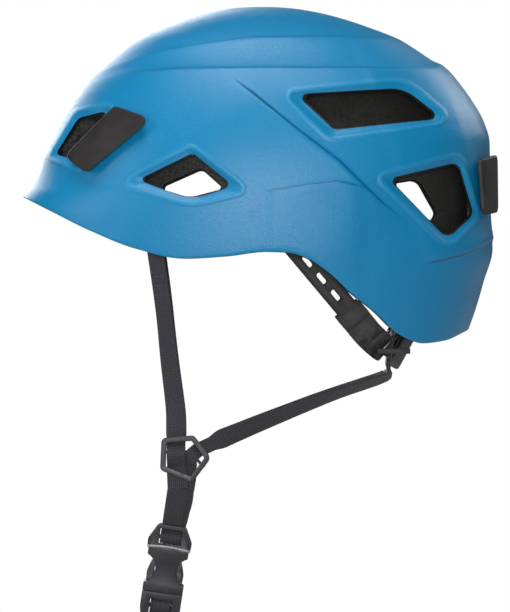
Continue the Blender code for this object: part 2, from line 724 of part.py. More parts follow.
def chin_straps(buckle):
    """The doubled strap from the left divider to the buckle, and the strap under the chin."""
    web = webbing_black()
    behind = DIVIDER_THICK / 2 + WEB_CLEAR + WEB_THICK / 2
    layer = WEB_THICK + GAP
    forward = Vector((1, 0, 0.1))

    def held(x, y, z):
        return buckle @ (Vector((x, y, z)) * MM) / MM

    top = -SOCKET_LENGTH - LADDER_LENGTH
    back = LADDER_HALF_T + WEB_CLEAR + WEB_THICK / 2
    start = DIVIDER + Vector((4.2, -behind, -17.8))
    knots = [start, start.lerp(held(0, -back, top), 0.5) + Vector((0, -0.8, 0)), held(0, -back, top - 3),
             held(0, -back, top + 1.4), held(0, -back + 0.2, top + 2.8), held(0, -0.5, top + 4.6),
             held(0, 1.9, top + 6.3), held(0, 2.2, top + 7.6), held(0, 1.7, top + 9.2),
             held(0, 0.2, top + 10.8)]
    path = curve_points(knots, 2)
    ribbon("lower_strap_outer", path, spread(forward, forward, len(path)), full_width, WEB_THICK, web)
    start = DIVIDER + Vector((0.4, -behind - layer, -17.8))
    middle = start.lerp(held(2.5, -back - layer, top), 0.5) + Vector((0, -0.8, 0))
    end = held(0.6, -back - layer, top + 9)
    path = curve_points([start, middle, held(2.5, -back - layer, top - 3), end], 4)
    ribbon("lower_strap_inner", path, spread(forward, forward, len(path)), full_width, WEB_THICK, web)

    back = PLUG_HALF_T + WEB_CLEAR + WEB_THICK / 2
    right = divider_centre(-1)
    under_chin = [Vector((54.5, 24.0, -350.0)), Vector((53.5, -6.0, -354.5)), Vector((51.5, -32.0, -337.0)),
                  Vector((47.5, -51.0, -300.0))]
    knots = [held(0, 0.2, 5.4), held(0, 1.4, 6.8), held(0, 1.9, 9.2), held(0, 1.0, 11.4),
             held(0, -2.2, 13.2), held(0, -back, 15.4), held(0, -back, 18), held(0, -back - 0.6, 24),
             *under_chin, right + Vector((4.8, 2.0, -32.0)), right + Vector((4.2, behind, -17.8))]
    path = curve_points(knots, 3)
    ribbon("chin_strap", path, spread(forward, forward, len(path)), full_width, WEB_THICK, web)
    start = right + Vector((0.4, behind + layer, -17.8))
    end = right + Vector((3.2, 2.6 + layer, -32.0))
    path = curve_points([start, start + Vector((1.0, 0.3, -8)), end], 4)
    ribbon("joined_strap_right", path, spread(forward, forward, len(path)), full_width, WEB_THICK, web)


# ---------------------------------------------------------------- buckle

def frame_empty(name, origin, x, y, z):
    """An empty whose axes are x, y and z; what is parented to it is modelled in its frame."""
    made = bpy.data.objects.new(name, None)
    bpy.context.scene.collection.objects.link(made)
    made.matrix_world = Matrix.Translation(origin * MM) @ Matrix((x, y, z)).transposed().to_4x4()
    bpy.context.view_layer.update()
    return made


def make_socket(holder):
    """The socket: a flat box open at its mouth, with thumb scallops and a strap ladder on top."""
    look = nylon_black()
    back = -SOCKET_LENGTH
    sleeve = [(-SOCKET_HALF_W, back, 1), (SOCKET_HALF_W, back, 1), (SOCKET_HALF_W, 0, 1),
              (-SOCKET_HALF_W, 0, 1)]
    body = prism("buckle_socket", rounded(sleeve, 3), -SOCKET_HALF_T, SOCKET_HALF_T, "Y", look, holder)
    top = back - LADDER_LENGTH
    half_top = WEB_WIDTH / 2 + 2.2
    ladder = [(-half_top, top, 2), (half_top, top, 2), (LADDER_HALF_W, back - 4, 4),
              (LADDER_HALF_W - 0.4, back + 1.5, 1), (0.4 - LADDER_HALF_W, back + 1.5, 1),
              (-LADDER_HALF_W, back - 4, 4)]
    bars = prism("join_ladder", rounded(ladder), -LADDER_HALF_T, LADDER_HALF_T, "Y", look, holder)
    boolean(body, "UNION", bars)
    hollow_w, hollow_t = SOCKET_HALF_W - SOCKET_WALL, SOCKET_HALF_T - SOCKET_WALL
    cavity = box("cut_socket_cavity", (-hollow_w, -hollow_t, back + 2.0), (hollow_w, hollow_t, 3), look,
                 holder)
    boolean(body, "DIFFERENCE", cavity)
    for side in (-1, 1):
        scallop = prism(f"cut_scallop_{side + 1}", circle(SCALLOP_R, 32, (side * SCALLOP_X, SCALLOP_Z)),
                        -9, 9, "Y", look, holder)
        boolean(body, "DIFFERENCE", scallop)
    half = WEB_WIDTH / 2 + WEB_CLEAR
    window = box("cut_ladder", (-half, -6, top + LADDER_BAR), (half, 6, back - 1.5), look, holder)
    boolean(body, "DIFFERENCE", window)
    middle = top + 7.6
    rung = box("join_rung", (-half - 1, -0.8, middle - 1.1), (half + 1, 0.8, middle + 1.1), look,
               holder)
    boolean(body, "UNION", rung)


def make_plug(holder):
    """The plug: a base with a strap window and a bar, and the tongue that guides it into the socket."""
    look = nylon_black()
    wide = SOCKET_HALF_W
    base = [(-wide, GAP, 1), (wide, GAP, 1), (wide, 10, 4), (wide - 1.6, PLUG_LENGTH, 3),
            (1.6 - wide, PLUG_LENGTH, 3), (-wide, 10, 4)]
    body = prism("buckle_plug", rounded(base), -PLUG_HALF_T, PLUG_HALF_T, "Y", look, holder)
    half = WEB_WIDTH / 2 + WEB_CLEAR
    window = box("cut_plug_window", (-half, -6, 4.8), (half, 6, PLUG_LENGTH - LADDER_BAR), look, holder)
    boolean(body, "DIFFERENCE", window)
    rung = box("join_plug_rung", (-half - 1, -0.8, 8.2), (half + 1, 0.8, 10.2), look, holder)
    boolean(body, "UNION", rung)
    tongue = box("join_tongue", (-TONGUE_HALF_W, -1.6, -SOCKET_LENGTH + 5), (TONGUE_HALF_W, 1.6, 2), look,
                 holder)
    boolean(body, "UNION", tongue)
    x, z = PRONG_HINGE
    room = PRONG_HINGE_R + GAP
    for side in (-1, 1):
        seat = prism(f"cut_prong_seat_{side + 1}", circle(room, 20, (side * x, z)), -PRONG_HALF_T - GAP,
                     PRONG_HALF_T + GAP, "Y", look, holder)
        boolean(body, "DIFFERENCE", seat)
        mouth = box(f"cut_prong_mouth_{side + 1}", (side * x - 1.5, -PRONG_HALF_T - GAP, -1),
                    (side * x + 1.5, PRONG_HALF_T + GAP, z), look, holder)
        boolean(body, "DIFFERENCE", mouth)


def make_prongs(holder):
    """Two springy prongs: a slim arm with an outward pad that the thumb presses in the scallop."""
    x, z = PRONG_HINGE
    top = -PRONG_LENGTH
    for name, side in (("front", -1), ("rear", 1)):
        pivot = bpy.data.objects.new(f"prong_{name}_pivot", None)
        bpy.context.scene.collection.objects.link(pivot)
        pivot.parent = holder
        pivot.location = Vector((side * x, 0, z)) * MM
        arm = [(-1.0, 0, 0.3), (1.0, 0, 0.3), (1.1, -6.6, 0.6), (2.0, -8.0, 0.6), (2.9, -8.1, 0.6),
               (3.2, -13, 6), (1.6, top - z + 3.0, 3), (0.4, top - z, 0.8), (-1.4, top - z + 0.6, 0.8),
               (-1.0, -10, 3)]
        outline = [(side * px, pz, r) for px, pz, r in arm]
        look = nylon_black()
        prong = prism(f"prong_{name}", rounded(outline, 4), -PRONG_HALF_T, PRONG_HALF_T, "Y", look, pivot)
        root = prism(f"join_root_{name}", circle(PRONG_HINGE_R, 20), -PRONG_HALF_T, PRONG_HALF_T, "Y", look,
                     pivot)
        boolean(prong, "UNION", root)


def make_buckle():
    outward = Vector((0, 1, 0))
    normal = (outward - BUCKLE_DOWN * outward.dot(BUCKLE_DOWN)).normalized()
    holder = frame_empty("buckle_frame", BUCKLE_MOUTH, normal.cross(BUCKLE_DOWN), normal, BUCKLE_DOWN)
    make_socket(holder)
    make_plug(holder)
    make_prongs(holder)
    return holder.matrix_world


# ---------------------------------------------------------------- nape cradle and ratchet

def tooth_outline(teeth):
    """A gear with straight-sided teeth, about its centre."""
    points = []
    for k in range(teeth):
        for share, radius in ((-0.34, -1.0), (-0.14, 0.85), (0.14, 0.85), (0.34, -1.0)):
            turn = 2 * pi * (k + share) / teeth
            size = PINION_R + radius * TOOTH_MODULE
            points.append((size * cos(turn), size * sin(turn)))
    return points


def rack_outline(side):
    """A toothed strip beside the pinion: its teeth face the axis, and its plain edge is outside.
    side is 1 for the strip above the pinion, whose tail points to local +X."""
    pitch = pi * TOOTH_MODULE
    teeth = 15
    near = PINION_R + RUN_CLEAR * 0.5
    points = []
    for k in range(teeth):
        middle = (k - 5) * pitch + (0.0 if PINION_TEETH % 4 else pitch / 2)
        for share, height in ((-0.36, 0.95), (-0.12, -0.75), (0.12, -0.75), (0.36, 0.95)):
            points.append((middle + share * pitch, near + height * TOOTH_MODULE))
    top = near + RACK_HIGH
    left, right = points[0][0] - 1.0, points[0][0] - 1.0 + RACK_LONG
    plain = near + TOOTH_MODULE
    outline = [(left, plain), *points, (right, plain), (right, top), (left, top)]
    return [(x * side, y * side) for x, y in outline]


def make_ratchet():
    """The housing, dial, pinion, racks and screw, in the dial's own frame with +Z along its axis."""
    axis = Vector((-cos(DIAL_TILT), 0, -sin(DIAL_TILT)))
    up = Vector((-sin(DIAL_TILT), 0, cos(DIAL_TILT)))
    holder = frame_empty("dial_frame", DIAL_CENTRE, Vector((0, -1, 0)), up, axis)
    look = nylon_black()
    deep = RACK_THICK + 2 * RUN_CLEAR
    corner = 6
    outline = rounded([(-HOUSE_HALF_W, -HOUSE_HALF_H, corner), (HOUSE_HALF_W, -HOUSE_HALF_H, corner),
                       (HOUSE_HALF_W, HOUSE_HALF_H, corner), (-HOUSE_HALF_W, HOUSE_HALF_H, corner)])
    back = prism("ratchet_back", outline, -deep / 2 - HOUSE_WALL, -deep / 2, "Z", look, holder)
    boolean(back, "DIFFERENCE", prism("cut_back_bore", circle(SCREW_R + RUN_CLEAR, 20), -9, 9, "Z", look,
                                      holder))
    cover = prism("ratchet_cover", outline, -deep / 2 + GAP, deep / 2 + HOUSE_WALL, "Z", look, holder)
    room = PINION_R + RACK_HIGH + 1.2
    hollow = box("cut_rack_room", (-HOUSE_HALF_W - 2, -room, -9), (HOUSE_HALF_W + 2, room, deep / 2), look,
                 holder)
    boolean(cover, "DIFFERENCE", hollow)
    boolean(cover, "DIFFERENCE", prism("cut_cover_bore", circle(SHAFT_R + RUN_CLEAR, 24), -9, 9, "Z", look,
                                       holder))

    teeth = tooth_outline(PINION_TEETH)
    pinion = prism("pinion", teeth, -RACK_THICK / 2, RACK_THICK / 2, "Z", look, holder)
    knob_low = deep / 2 + HOUSE_WALL + GAP
    shaft = prism("join_shaft", circle(SHAFT_R, 24), 0, knob_low + 2.5, "Z", look, holder)
    boolean(pinion, "UNION", shaft)
    bore = prism("cut_pinion_bore", circle(SCREW_R + RUN_CLEAR, 16), -9, 20, "Z", look, holder)
    boolean(pinion, "DIFFERENCE", bore)

    grip = []
    for k in range(GRIP_NOTCHES * 4):
        dip = 0.9 if k % 4 == 0 else (0.45 if k % 2 else 0.0)
        turn = 2 * pi * k / (GRIP_NOTCHES * 4)
        grip.append(((DIAL_R - dip) * cos(turn), (DIAL_R - dip) * sin(turn)))
    dial = prism("dial", grip, knob_low, knob_low + DIAL_HIGH, "Z", look, holder)
    sink = knob_low + DIAL_HIGH - 2.2
    for name, radius, low, high in (("bore", SHAFT_R + GAP, -9, knob_low + 2.5 + GAP),
                                    ("screw", SCREW_R + RUN_CLEAR, -9, 30), ("sink", 4.2, sink, 30)):
        hole = prism(f"cut_dial_{name}", circle(radius, 24), low, high, "Z", look, holder)
        boolean(dial, "DIFFERENCE", hole)

    head_z = sink + GAP
    low = -deep / 2 - HOUSE_WALL - WING_THICK - 2 * GAP
    turned("dial_screw", [(0, low - 1.4), (3.2, low - 1.4), (3.2, low), (SCREW_R, low), (SCREW_R, head_z),
                          (3.4, head_z), (3.4, head_z + 1.5), (0, head_z + 1.5)], steel(), holder, 20)
    for name, side in (("rack_right", 1), ("rack_left", -1)):
        prism(name, rack_outline(side), -RACK_THICK / 2, RACK_THICK / 2, "Z", look, holder)
    return prism("cut_cradle_bore", circle(SCREW_R + RUN_CLEAR, 20), low - 4, 0, "Z", look, holder)


def arm_point(along, y=ARM_Y, lift=0.0):
    """A point along the left arm's centreline, or lifted square to it, up and back."""
    return Vector((ARM_START.x - cos(ARM_DROP) * along - sin(ARM_DROP) * lift, y,
                   ARM_START.z - sin(ARM_DROP) * along + cos(ARM_DROP) * lift))


def arm_outline(start, end, half, radius):
    """A rounded strip along the arm, in side view."""
    corners = [arm_point(start, lift=-half), arm_point(end, lift=-half), arm_point(end, lift=half),
               arm_point(start, lift=half)]
    return rounded([(p.x, p.z, radius) for p in corners], 4)


def make_arms(liner):
    """The band's side arms, pegged to the liner at the temples, with slots along them."""
    look = nylon_black()
    centre = (ARM_START.x, ARM_START.z)
    for name, side in sides():
        low, high = sorted((side * (ARM_Y - ARM_THICK / 2), side * (ARM_Y + ARM_THICK / 2)))
        arm = prism(f"band_arm_{name}", arm_outline(-9, ARM_LONG, ARM_WIDE / 2, 4), low, high, "Y", look)
        boolean(arm, "DIFFERENCE", prism(f"cut_arm_peg_{name}", circle(PEG_R + GAP, 18, centre), low - 2,
                                         high + 2, "Y", look))
        for k, (start, end, half) in enumerate(ARM_SLOTS):
            slot = prism(f"cut_arm_slot_{k}_{name}", arm_outline(start, end, half, half * 0.9), low - 2,
                         high + 2, "Y", look)
            boolean(arm, "DIFFERENCE", slot)
        inner = ARM_Y - ARM_THICK / 2 - GAP
        outer = ARM_Y + ARM_THICK / 2 + GAP
        wall = HALF_WIDTH - SHELL_WALL - LINER_CLEAR - LINER_WALL
        spans = {"shaft": (inner - 1, wall + PEG_DEEP, PEG_R), "head": (inner - 2.2, inner, PEG_R + 3),
                 "collar": (outer, wall - LINER_CLEAR, PEG_R + 2)}
        pieces = {key: prism(f"temple_peg_{name}" if key == "shaft" else f"join_peg_{key}_{name}",
                             circle(r, 18, centre), *sorted((side * a, side * b)), "Y", look)
                  for key, (a, b, r) in spans.items()}
        boolean(pieces["shaft"], "UNION", pieces["head"])
        boolean(pieces["shaft"], "UNION", pieces["collar"])
        ends = sorted((side * (wall - 6), side * (wall + PEG_DEEP + GAP)))
        boolean(liner, "DIFFERENCE", prism(f"cut_peg_{name}", circle(PEG_R + GAP, 18, centre), *ends, "Y",
                                           look))


def cradle_path():
    """The cradle's band, from the left arm round the nape to the right arm, as knots."""
    wing_y = ARM_Y + ARM_THICK / 2 + GAP + WING_THICK / 2
    axis = Vector((-cos(DIAL_TILT), 0, -sin(DIAL_TILT)))
    middle = DIAL_CENTRE - axis * (RACK_THICK / 2 + RUN_CLEAR + HOUSE_WALL + WING_THICK / 2 + GAP)
    left = [arm_point(WING_START, wing_y), arm_point((WING_START + ARM_LONG) / 2, wing_y),
            arm_point(ARM_LONG + 1, wing_y - 0.6), Vector((middle.x + 4.2, wing_y - 13, middle.z - 9.0)),
            Vector((middle.x + 1.2, wing_y - 32, middle.z - 5.4)),
            middle + Vector((0, HOUSE_HALF_W - 1, 0)), middle + Vector((0, 10, 0))]
    return left + [mirrored(p, -1) for p in reversed(left)]


def make_cradle(bore):
    """The nape cradle: one springy band with a sleeve over each arm and a loop for each rear strap."""
    look = nylon_black()
    path = curve_points(cradle_path(), 4)
    square = Vector((sin(ARM_DROP), 0, -cos(ARM_DROP)))
    rest = Vector((sin(DIAL_TILT), 0, -cos(DIAL_TILT)))
    middle = (len(path) - 1) / 2

    def across(i):
        share = 1 - abs(i - middle) / middle
        return square.lerp(rest, min(1, max(0, share * 2.2 - 0.7)))

    cradle = ribbon("nape_cradle", path, across, lambda i: WING_WIDE, WING_THICK, look)
    boolean(cradle, "DIFFERENCE", bore)
    for name, side in sides():
        inner, outer = ARM_Y - ARM_THICK / 2 - GAP - 1.6, ARM_Y + ARM_THICK / 2 + GAP + WING_THICK + 0.6
        low, high = sorted((side * inner, side * outer))
        start = WING_START + 1.5
        half = ARM_WIDE / 2 + GAP + 1.8
        sleeve = prism(f"join_sleeve_{name}", arm_outline(start, start + SLEEVE_LONG, half, 1.5), low, high,
                       "Y", look)
        boolean(cradle, "UNION", sleeve)
        low, high = sorted((side * (ARM_Y - ARM_THICK / 2 - GAP), side * (ARM_Y + ARM_THICK / 2 + GAP)))
        inside = arm_outline(start - 9, ARM_LONG + TRAVEL_FORWARD + 1, ARM_WIDE / 2 + GAP, 0.5)
        room = prism(f"cut_sleeve_{name}", inside, low, high, "Y", look)
        boolean(cradle, "DIFFERENCE", room)
        strap = mirrored(STRAP_BEND, side)
        rear_room = TRAVEL_FORWARD * cos(ARM_DROP) + WEB_THICK / 2 + WEB_CLEAR + 0.6
        front_room = TRAVEL_BACK * cos(ARM_DROP) + WEB_THICK / 2 + WEB_CLEAR + 0.6
        half_y = WEB_WIDTH / 2 + WEB_CLEAR
        level = STRAP_BEND.z + RING_LIFT
        x_low, x_high = strap.x - 1.5 - rear_room, strap.x - 0.5 + front_room
        outer_y, half_tall = half_y + RING_WALL, RING_TALL / 2
        loop = box(f"join_loop_{name}", (x_low - RING_WALL, strap.y - outer_y, level - half_tall),
                   (x_high + RING_WALL, strap.y + outer_y, level + half_tall), look)
        boolean(cradle, "UNION", loop)
        hole = box(f"cut_loop_{name}", (x_low, strap.y - half_y, level - WING_WIDE),
                   (x_high, strap.y + half_y, level + WING_WIDE), look)
        boolean(cradle, "DIFFERENCE", hole)


def main():
    for old in list(bpy.data.objects):
        bpy.data.objects.remove(old)
    make_shell()
    liner = make_liner()
    make_pads()
    make_clips()
    make_straps(liner)
    chin_straps(make_buckle())
    bore = make_ratchet()
    make_arms(liner)
    make_cradle(bore)


main()
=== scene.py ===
from math import cos, pi, radians, sin, sqrt, tan

import bmesh
import bpy
import numpy as np
from mathutils import Matrix, Vector


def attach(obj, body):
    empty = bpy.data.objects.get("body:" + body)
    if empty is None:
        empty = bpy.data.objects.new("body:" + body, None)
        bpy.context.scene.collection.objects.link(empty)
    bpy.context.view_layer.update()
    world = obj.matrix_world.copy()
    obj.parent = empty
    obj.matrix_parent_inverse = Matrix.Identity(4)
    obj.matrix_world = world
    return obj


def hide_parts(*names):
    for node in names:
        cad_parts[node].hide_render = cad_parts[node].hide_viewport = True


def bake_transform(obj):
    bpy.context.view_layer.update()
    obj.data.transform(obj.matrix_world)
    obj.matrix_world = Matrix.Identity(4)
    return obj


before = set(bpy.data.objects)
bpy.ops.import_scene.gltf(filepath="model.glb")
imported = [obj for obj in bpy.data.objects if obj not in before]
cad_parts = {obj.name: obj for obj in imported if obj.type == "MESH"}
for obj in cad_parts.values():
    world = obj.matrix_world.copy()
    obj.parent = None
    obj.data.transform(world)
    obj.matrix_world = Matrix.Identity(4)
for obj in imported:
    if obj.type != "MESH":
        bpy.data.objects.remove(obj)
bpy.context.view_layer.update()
mm = 0.001
sides = (("left", 1), ("right", -1))


# small helpers for node trees

def put(tree, socket, value):
    if isinstance(value, bpy.types.NodeSocket):
        tree.links.new(value, socket)
    else:
        socket.default_value = value


def addNode(tree, kind, inputs=None, **settings):
    node = tree.nodes.new(kind)
    for key, value in settings.items():
        setattr(node, key, value)
    for key, value in (inputs or {}).items():
        put(tree, node.inputs[key], value)
    return node


def calc(tree, operation, *values, clamp=False):
    node = tree.nodes.new("ShaderNodeMath")
    node.operation = operation
    node.use_clamp = clamp
    for i, value in enumerate(values):
        put(tree, node.inputs[i], value)
    return node.outputs[0]


def ramp(tree, value, low, high, start=0.0, end=1.0):
    node = addNode(tree, "ShaderNodeMapRange", {"Value": value, "From Min": low, "From Max": high,
                                                "To Min": start, "To Max": end})
    node.interpolation_type = "SMOOTHSTEP"
    return node.outputs[0]


def mixColour(tree, factor, first, second, blend="MIX"):
    node = tree.nodes.new("ShaderNodeMix")
    node.data_type = "RGBA"
    node.blend_type = blend
    for index, value in ((0, factor), (6, first), (7, second)):
        put(tree, node.inputs[index], value)
    return node.outputs[2]


def newGroup(name, inputs, outputs):
    tree = bpy.data.node_groups.new(name, "ShaderNodeTree")
    for label, kind, value in inputs:
        socket = tree.interface.new_socket(label, in_out="INPUT", socket_type="NodeSocket" + kind)
        if value is not None:
            socket.default_value = value
    for label in outputs:
        tree.interface.new_socket(label, in_out="OUTPUT", socket_type="NodeSocketFloat")
    return tree, tree.nodes.new("NodeGroupInput").outputs, tree.nodes.new("NodeGroupOutput").inputs


# fine moulded grain: soft clouds with small bright flecks in them
def makeGrainGroup():
    tree, given, out = newGroup("fineGrain", [("Vector", "Vector", None), ("Scale", "Float", 1500.0),
                                              ("Flecks", "Float", 0.5)], ["Mask", "Height"])
    cloud = addNode(tree, "ShaderNodeTexNoise", {"Vector": given["Vector"], "Scale": given["Scale"],
                                                 "Detail": 3.0, "Roughness": 0.6})
    fleck = addNode(tree, "ShaderNodeTexVoronoi", {"Vector": given["Vector"],
                                                   "Scale": calc(tree, "MULTIPLY", given["Scale"], 1.3)})
    dots = ramp(tree, fleck.outputs["Distance"], 0.34, 0.1)
    put(tree, out["Mask"], calc(tree, "ADD", calc(tree, "MULTIPLY", dots, given["Flecks"]),
                                calc(tree, "MULTIPLY", cloud.outputs[0], 0.6), clamp=True))
    put(tree, out["Height"], calc(tree, "ADD", cloud.outputs[0], calc(tree, "MULTIPLY", dots, 0.4)))
    return tree


# lighter rubbed edges, broken up by noise
def makeWearGroup():
    tree, given, out = newGroup("edgeWear", [("Vector", "Vector", None), ("Amount", "Float", 0.4),
                                             ("Scale", "Float", 220.0)], ["Mask"])
    convex = addNode(tree, "ShaderNodeNewGeometry").outputs["Pointiness"]
    noise = addNode(tree, "ShaderNodeTexNoise", {"Vector": given["Vector"], "Scale": given["Scale"],
                                                 "Detail": 4.0})
    edge = ramp(tree, convex, 0.52, 0.62)
    broken = ramp(tree, noise.outputs[0], 0.4, 0.62)
    put(tree, out["Mask"], calc(tree, "MULTIPLY", calc(tree, "MULTIPLY", edge, broken), given["Amount"],
                                clamp=True))
    return tree


# plain woven webbing: warp and weft change places in a checker
def makeWeaveGroup():
    tree, given, out = newGroup("webWeave", [("Vector", "Vector", None), ("Warp", "Float", 0.0012),
                                             ("Weft", "Float", 0.0009)], ["Height", "Shade"])
    split = addNode(tree, "ShaderNodeSeparateXYZ", {0: given["Vector"]})
    across = calc(tree, "DIVIDE", split.outputs[0], given["Warp"])
    along = calc(tree, "DIVIDE", split.outputs[1], given["Weft"])
    over = calc(tree, "MODULO", calc(tree, "ADD", calc(tree, "FLOOR", across),
                                     calc(tree, "FLOOR", calc(tree, "ADD", along, 2000.0))), 2.0)
    flip = ramp(tree, calc(tree, "ABSOLUTE", over), 0.4, 0.6)
    warp = calc(tree, "SINE", calc(tree, "MULTIPLY", calc(tree, "FRACT", across), pi))
    weft = calc(tree, "SINE", calc(tree, "MULTIPLY", calc(tree, "FRACT", along), pi))
    height = calc(tree, "ADD", calc(tree, "MULTIPLY", warp, flip),
                  calc(tree, "MULTIPLY", calc(tree, "MULTIPLY", weft, 0.75), calc(tree, "SUBTRACT", 1.0, flip)))
    put(tree, out["Height"], height)
    # Shade follows the height, for painting shade into the weave's valleys
    put(tree, out["Shade"], ramp(tree, height, 0.1, 0.9))
    return tree


# a thin, uneven film of dust
def makeDustGroup():
    tree, given, out = newGroup("dustFilm", [("Vector", "Vector", None), ("Amount", "Float", 0.15)], ["Mask"])
    noise = addNode(tree, "ShaderNodeTexNoise", {"Vector": given["Vector"], "Scale": 34.0, "Detail": 6.0,
                                                 "Roughness": 0.65})
    put(tree, out["Mask"], calc(tree, "MULTIPLY", ramp(tree, noise.outputs[0], 0.42, 0.75), given["Amount"]))
    return tree


# expanded foam: packed beads with dark seams
def makeBeadGroup():
    tree, given, out = newGroup("foamBeads", [("Vector", "Vector", None), ("Scale", "Float", 330.0)],
                                ["Height", "Shade"])
    cell = addNode(tree, "ShaderNodeTexVoronoi", {"Vector": given["Vector"], "Scale": given["Scale"]},
                   feature="DISTANCE_TO_EDGE")
    put(tree, out["Height"], ramp(tree, cell.outputs["Distance"], 0.0, 0.22))
    put(tree, out["Shade"], ramp(tree, cell.outputs["Distance"], 0.02, 0.12))
    return tree


groups = {"grain": makeGrainGroup(), "wear": makeWearGroup(), "weave": makeWeaveGroup(),
          "dust": makeDustGroup(), "beads": makeBeadGroup()}


def useGroup(tree, name, **values):
    node = tree.nodes.new("ShaderNodeGroup")
    node.node_tree = groups[name]
    for key, value in values.items():
        put(tree, node.inputs[key], value)
    return node.outputs


def newMaterial(name, roughness, **uniform):
    material = bpy.data.materials.new(name)
    material.use_nodes = True
    tree = material.node_tree
    shader = tree.nodes["Principled BSDF"]
    shader.inputs["Roughness"].default_value = roughness
    for key, value in uniform.items():
        shader.inputs[key.replace("_", " ")].default_value = value
    place = addNode(tree, "ShaderNodeTexCoord").outputs["Object"]
    return material, tree, shader, place


def addBump(tree, shader, height, depth, strength=1.0):
    bump = addNode(tree, "ShaderNodeBump", {"Height": height, "Distance": depth, "Strength": strength})
    put(tree, shader.inputs["Normal"], bump.outputs[0])


def rgb(red, green, blue):
    return (red, green, blue, 1.0)


# hard plastics: a base colour, grain flecks, rubbed edges and a little dust; the shell also gets painted shade along
# its creases and a painted highlight round its vent recesses
def plasticMaterial(name, look):
    material, tree, shader, place = newMaterial(name, look["roughness"],
                                                **{"Specular_IOR_Level": look["specular"],
                                                   "Coat_Roughness": 0.35})
    grain = useGroup(tree, "grain", Vector=place, Scale=look["grainScale"], Flecks=look["flecks"])
    wear = useGroup(tree, "wear", Vector=place, Amount=look["wear"])
    dust = useGroup(tree, "dust", Vector=place, Amount=look["dust"])
    colour = mixColour(tree, grain["Mask"], rgb(*look["colour"]), rgb(*look["fleckColour"]))
    colour = mixColour(tree, wear["Mask"], colour, rgb(*look["wornColour"]))
    colour = mixColour(tree, dust["Mask"], colour, rgb(0.42, 0.41, 0.38))
    put(tree, shader.inputs["Base Color"], colour)
    rough = calc(tree, "ADD", calc(tree, "MULTIPLY", grain["Mask"], look["roughSpread"]), look["roughness"])
    put(tree, shader.inputs["Roughness"], calc(tree, "ADD", rough, calc(tree, "MULTIPLY", dust["Mask"], 0.5)))
    if look.get("coat"):
        shader.inputs["Coat Weight"].default_value = look["coat"]
    addBump(tree, shader, grain["Height"], look["grainDepth"])
    # painted highlight: a lighter lip colour round each vent recess, with a matching bump
    if "rimHighlightColour" in look:
        gap = addNode(tree, "ShaderNodeAttribute", attribute_name="ventRim").outputs["Fac"]
        lip = ramp(tree, calc(tree, "ABSOLUTE", calc(tree, "SUBTRACT", gap, 0.6)), 2.4, 0.2)
        old = shader.inputs["Base Color"].links[0].from_socket
        put(tree, shader.inputs["Base Color"], mixColour(tree, calc(tree, "MULTIPLY", lip, 0.16), old,
                                                         rgb(*look["rimHighlightColour"])))
        bump = addNode(tree, "ShaderNodeBump", {"Height": lip, "Distance": 0.0004,
                                                "Normal": shader.inputs["Normal"].links[0].from_socket})
        put(tree, shader.inputs["Normal"], bump.outputs[0])
    # painted shade: each crease darkens a thin line of the colour, next to a bump step
    for crease in look.get("creases", ()):
        at = addNode(tree, "ShaderNodeAttribute", attribute_name=crease).outputs["Vector"]
        split = addNode(tree, "ShaderNodeSeparateXYZ", {0: at}).outputs
        step = calc(tree, "MULTIPLY", ramp(tree, split[0], -0.55, 0.55), split[1])
        line = calc(tree, "MULTIPLY", ramp(tree, calc(tree, "ABSOLUTE", calc(tree, "ADD", split[0], 0.45)),
                                           1.0, 0.1), split[1])
        old = shader.inputs["Base Color"].links[0].from_socket
        put(tree, shader.inputs["Base Color"], mixColour(tree, calc(tree, "MULTIPLY", line, 0.55), old,
                                                         rgb(*look["paintedCreaseShade"])))
        bump = addNode(tree, "ShaderNodeBump", {"Height": step, "Distance": 0.0006,
                                                "Normal": shader.inputs["Normal"].links[0].from_socket})
        put(tree, shader.inputs["Normal"], bump.outputs[0])
    return material


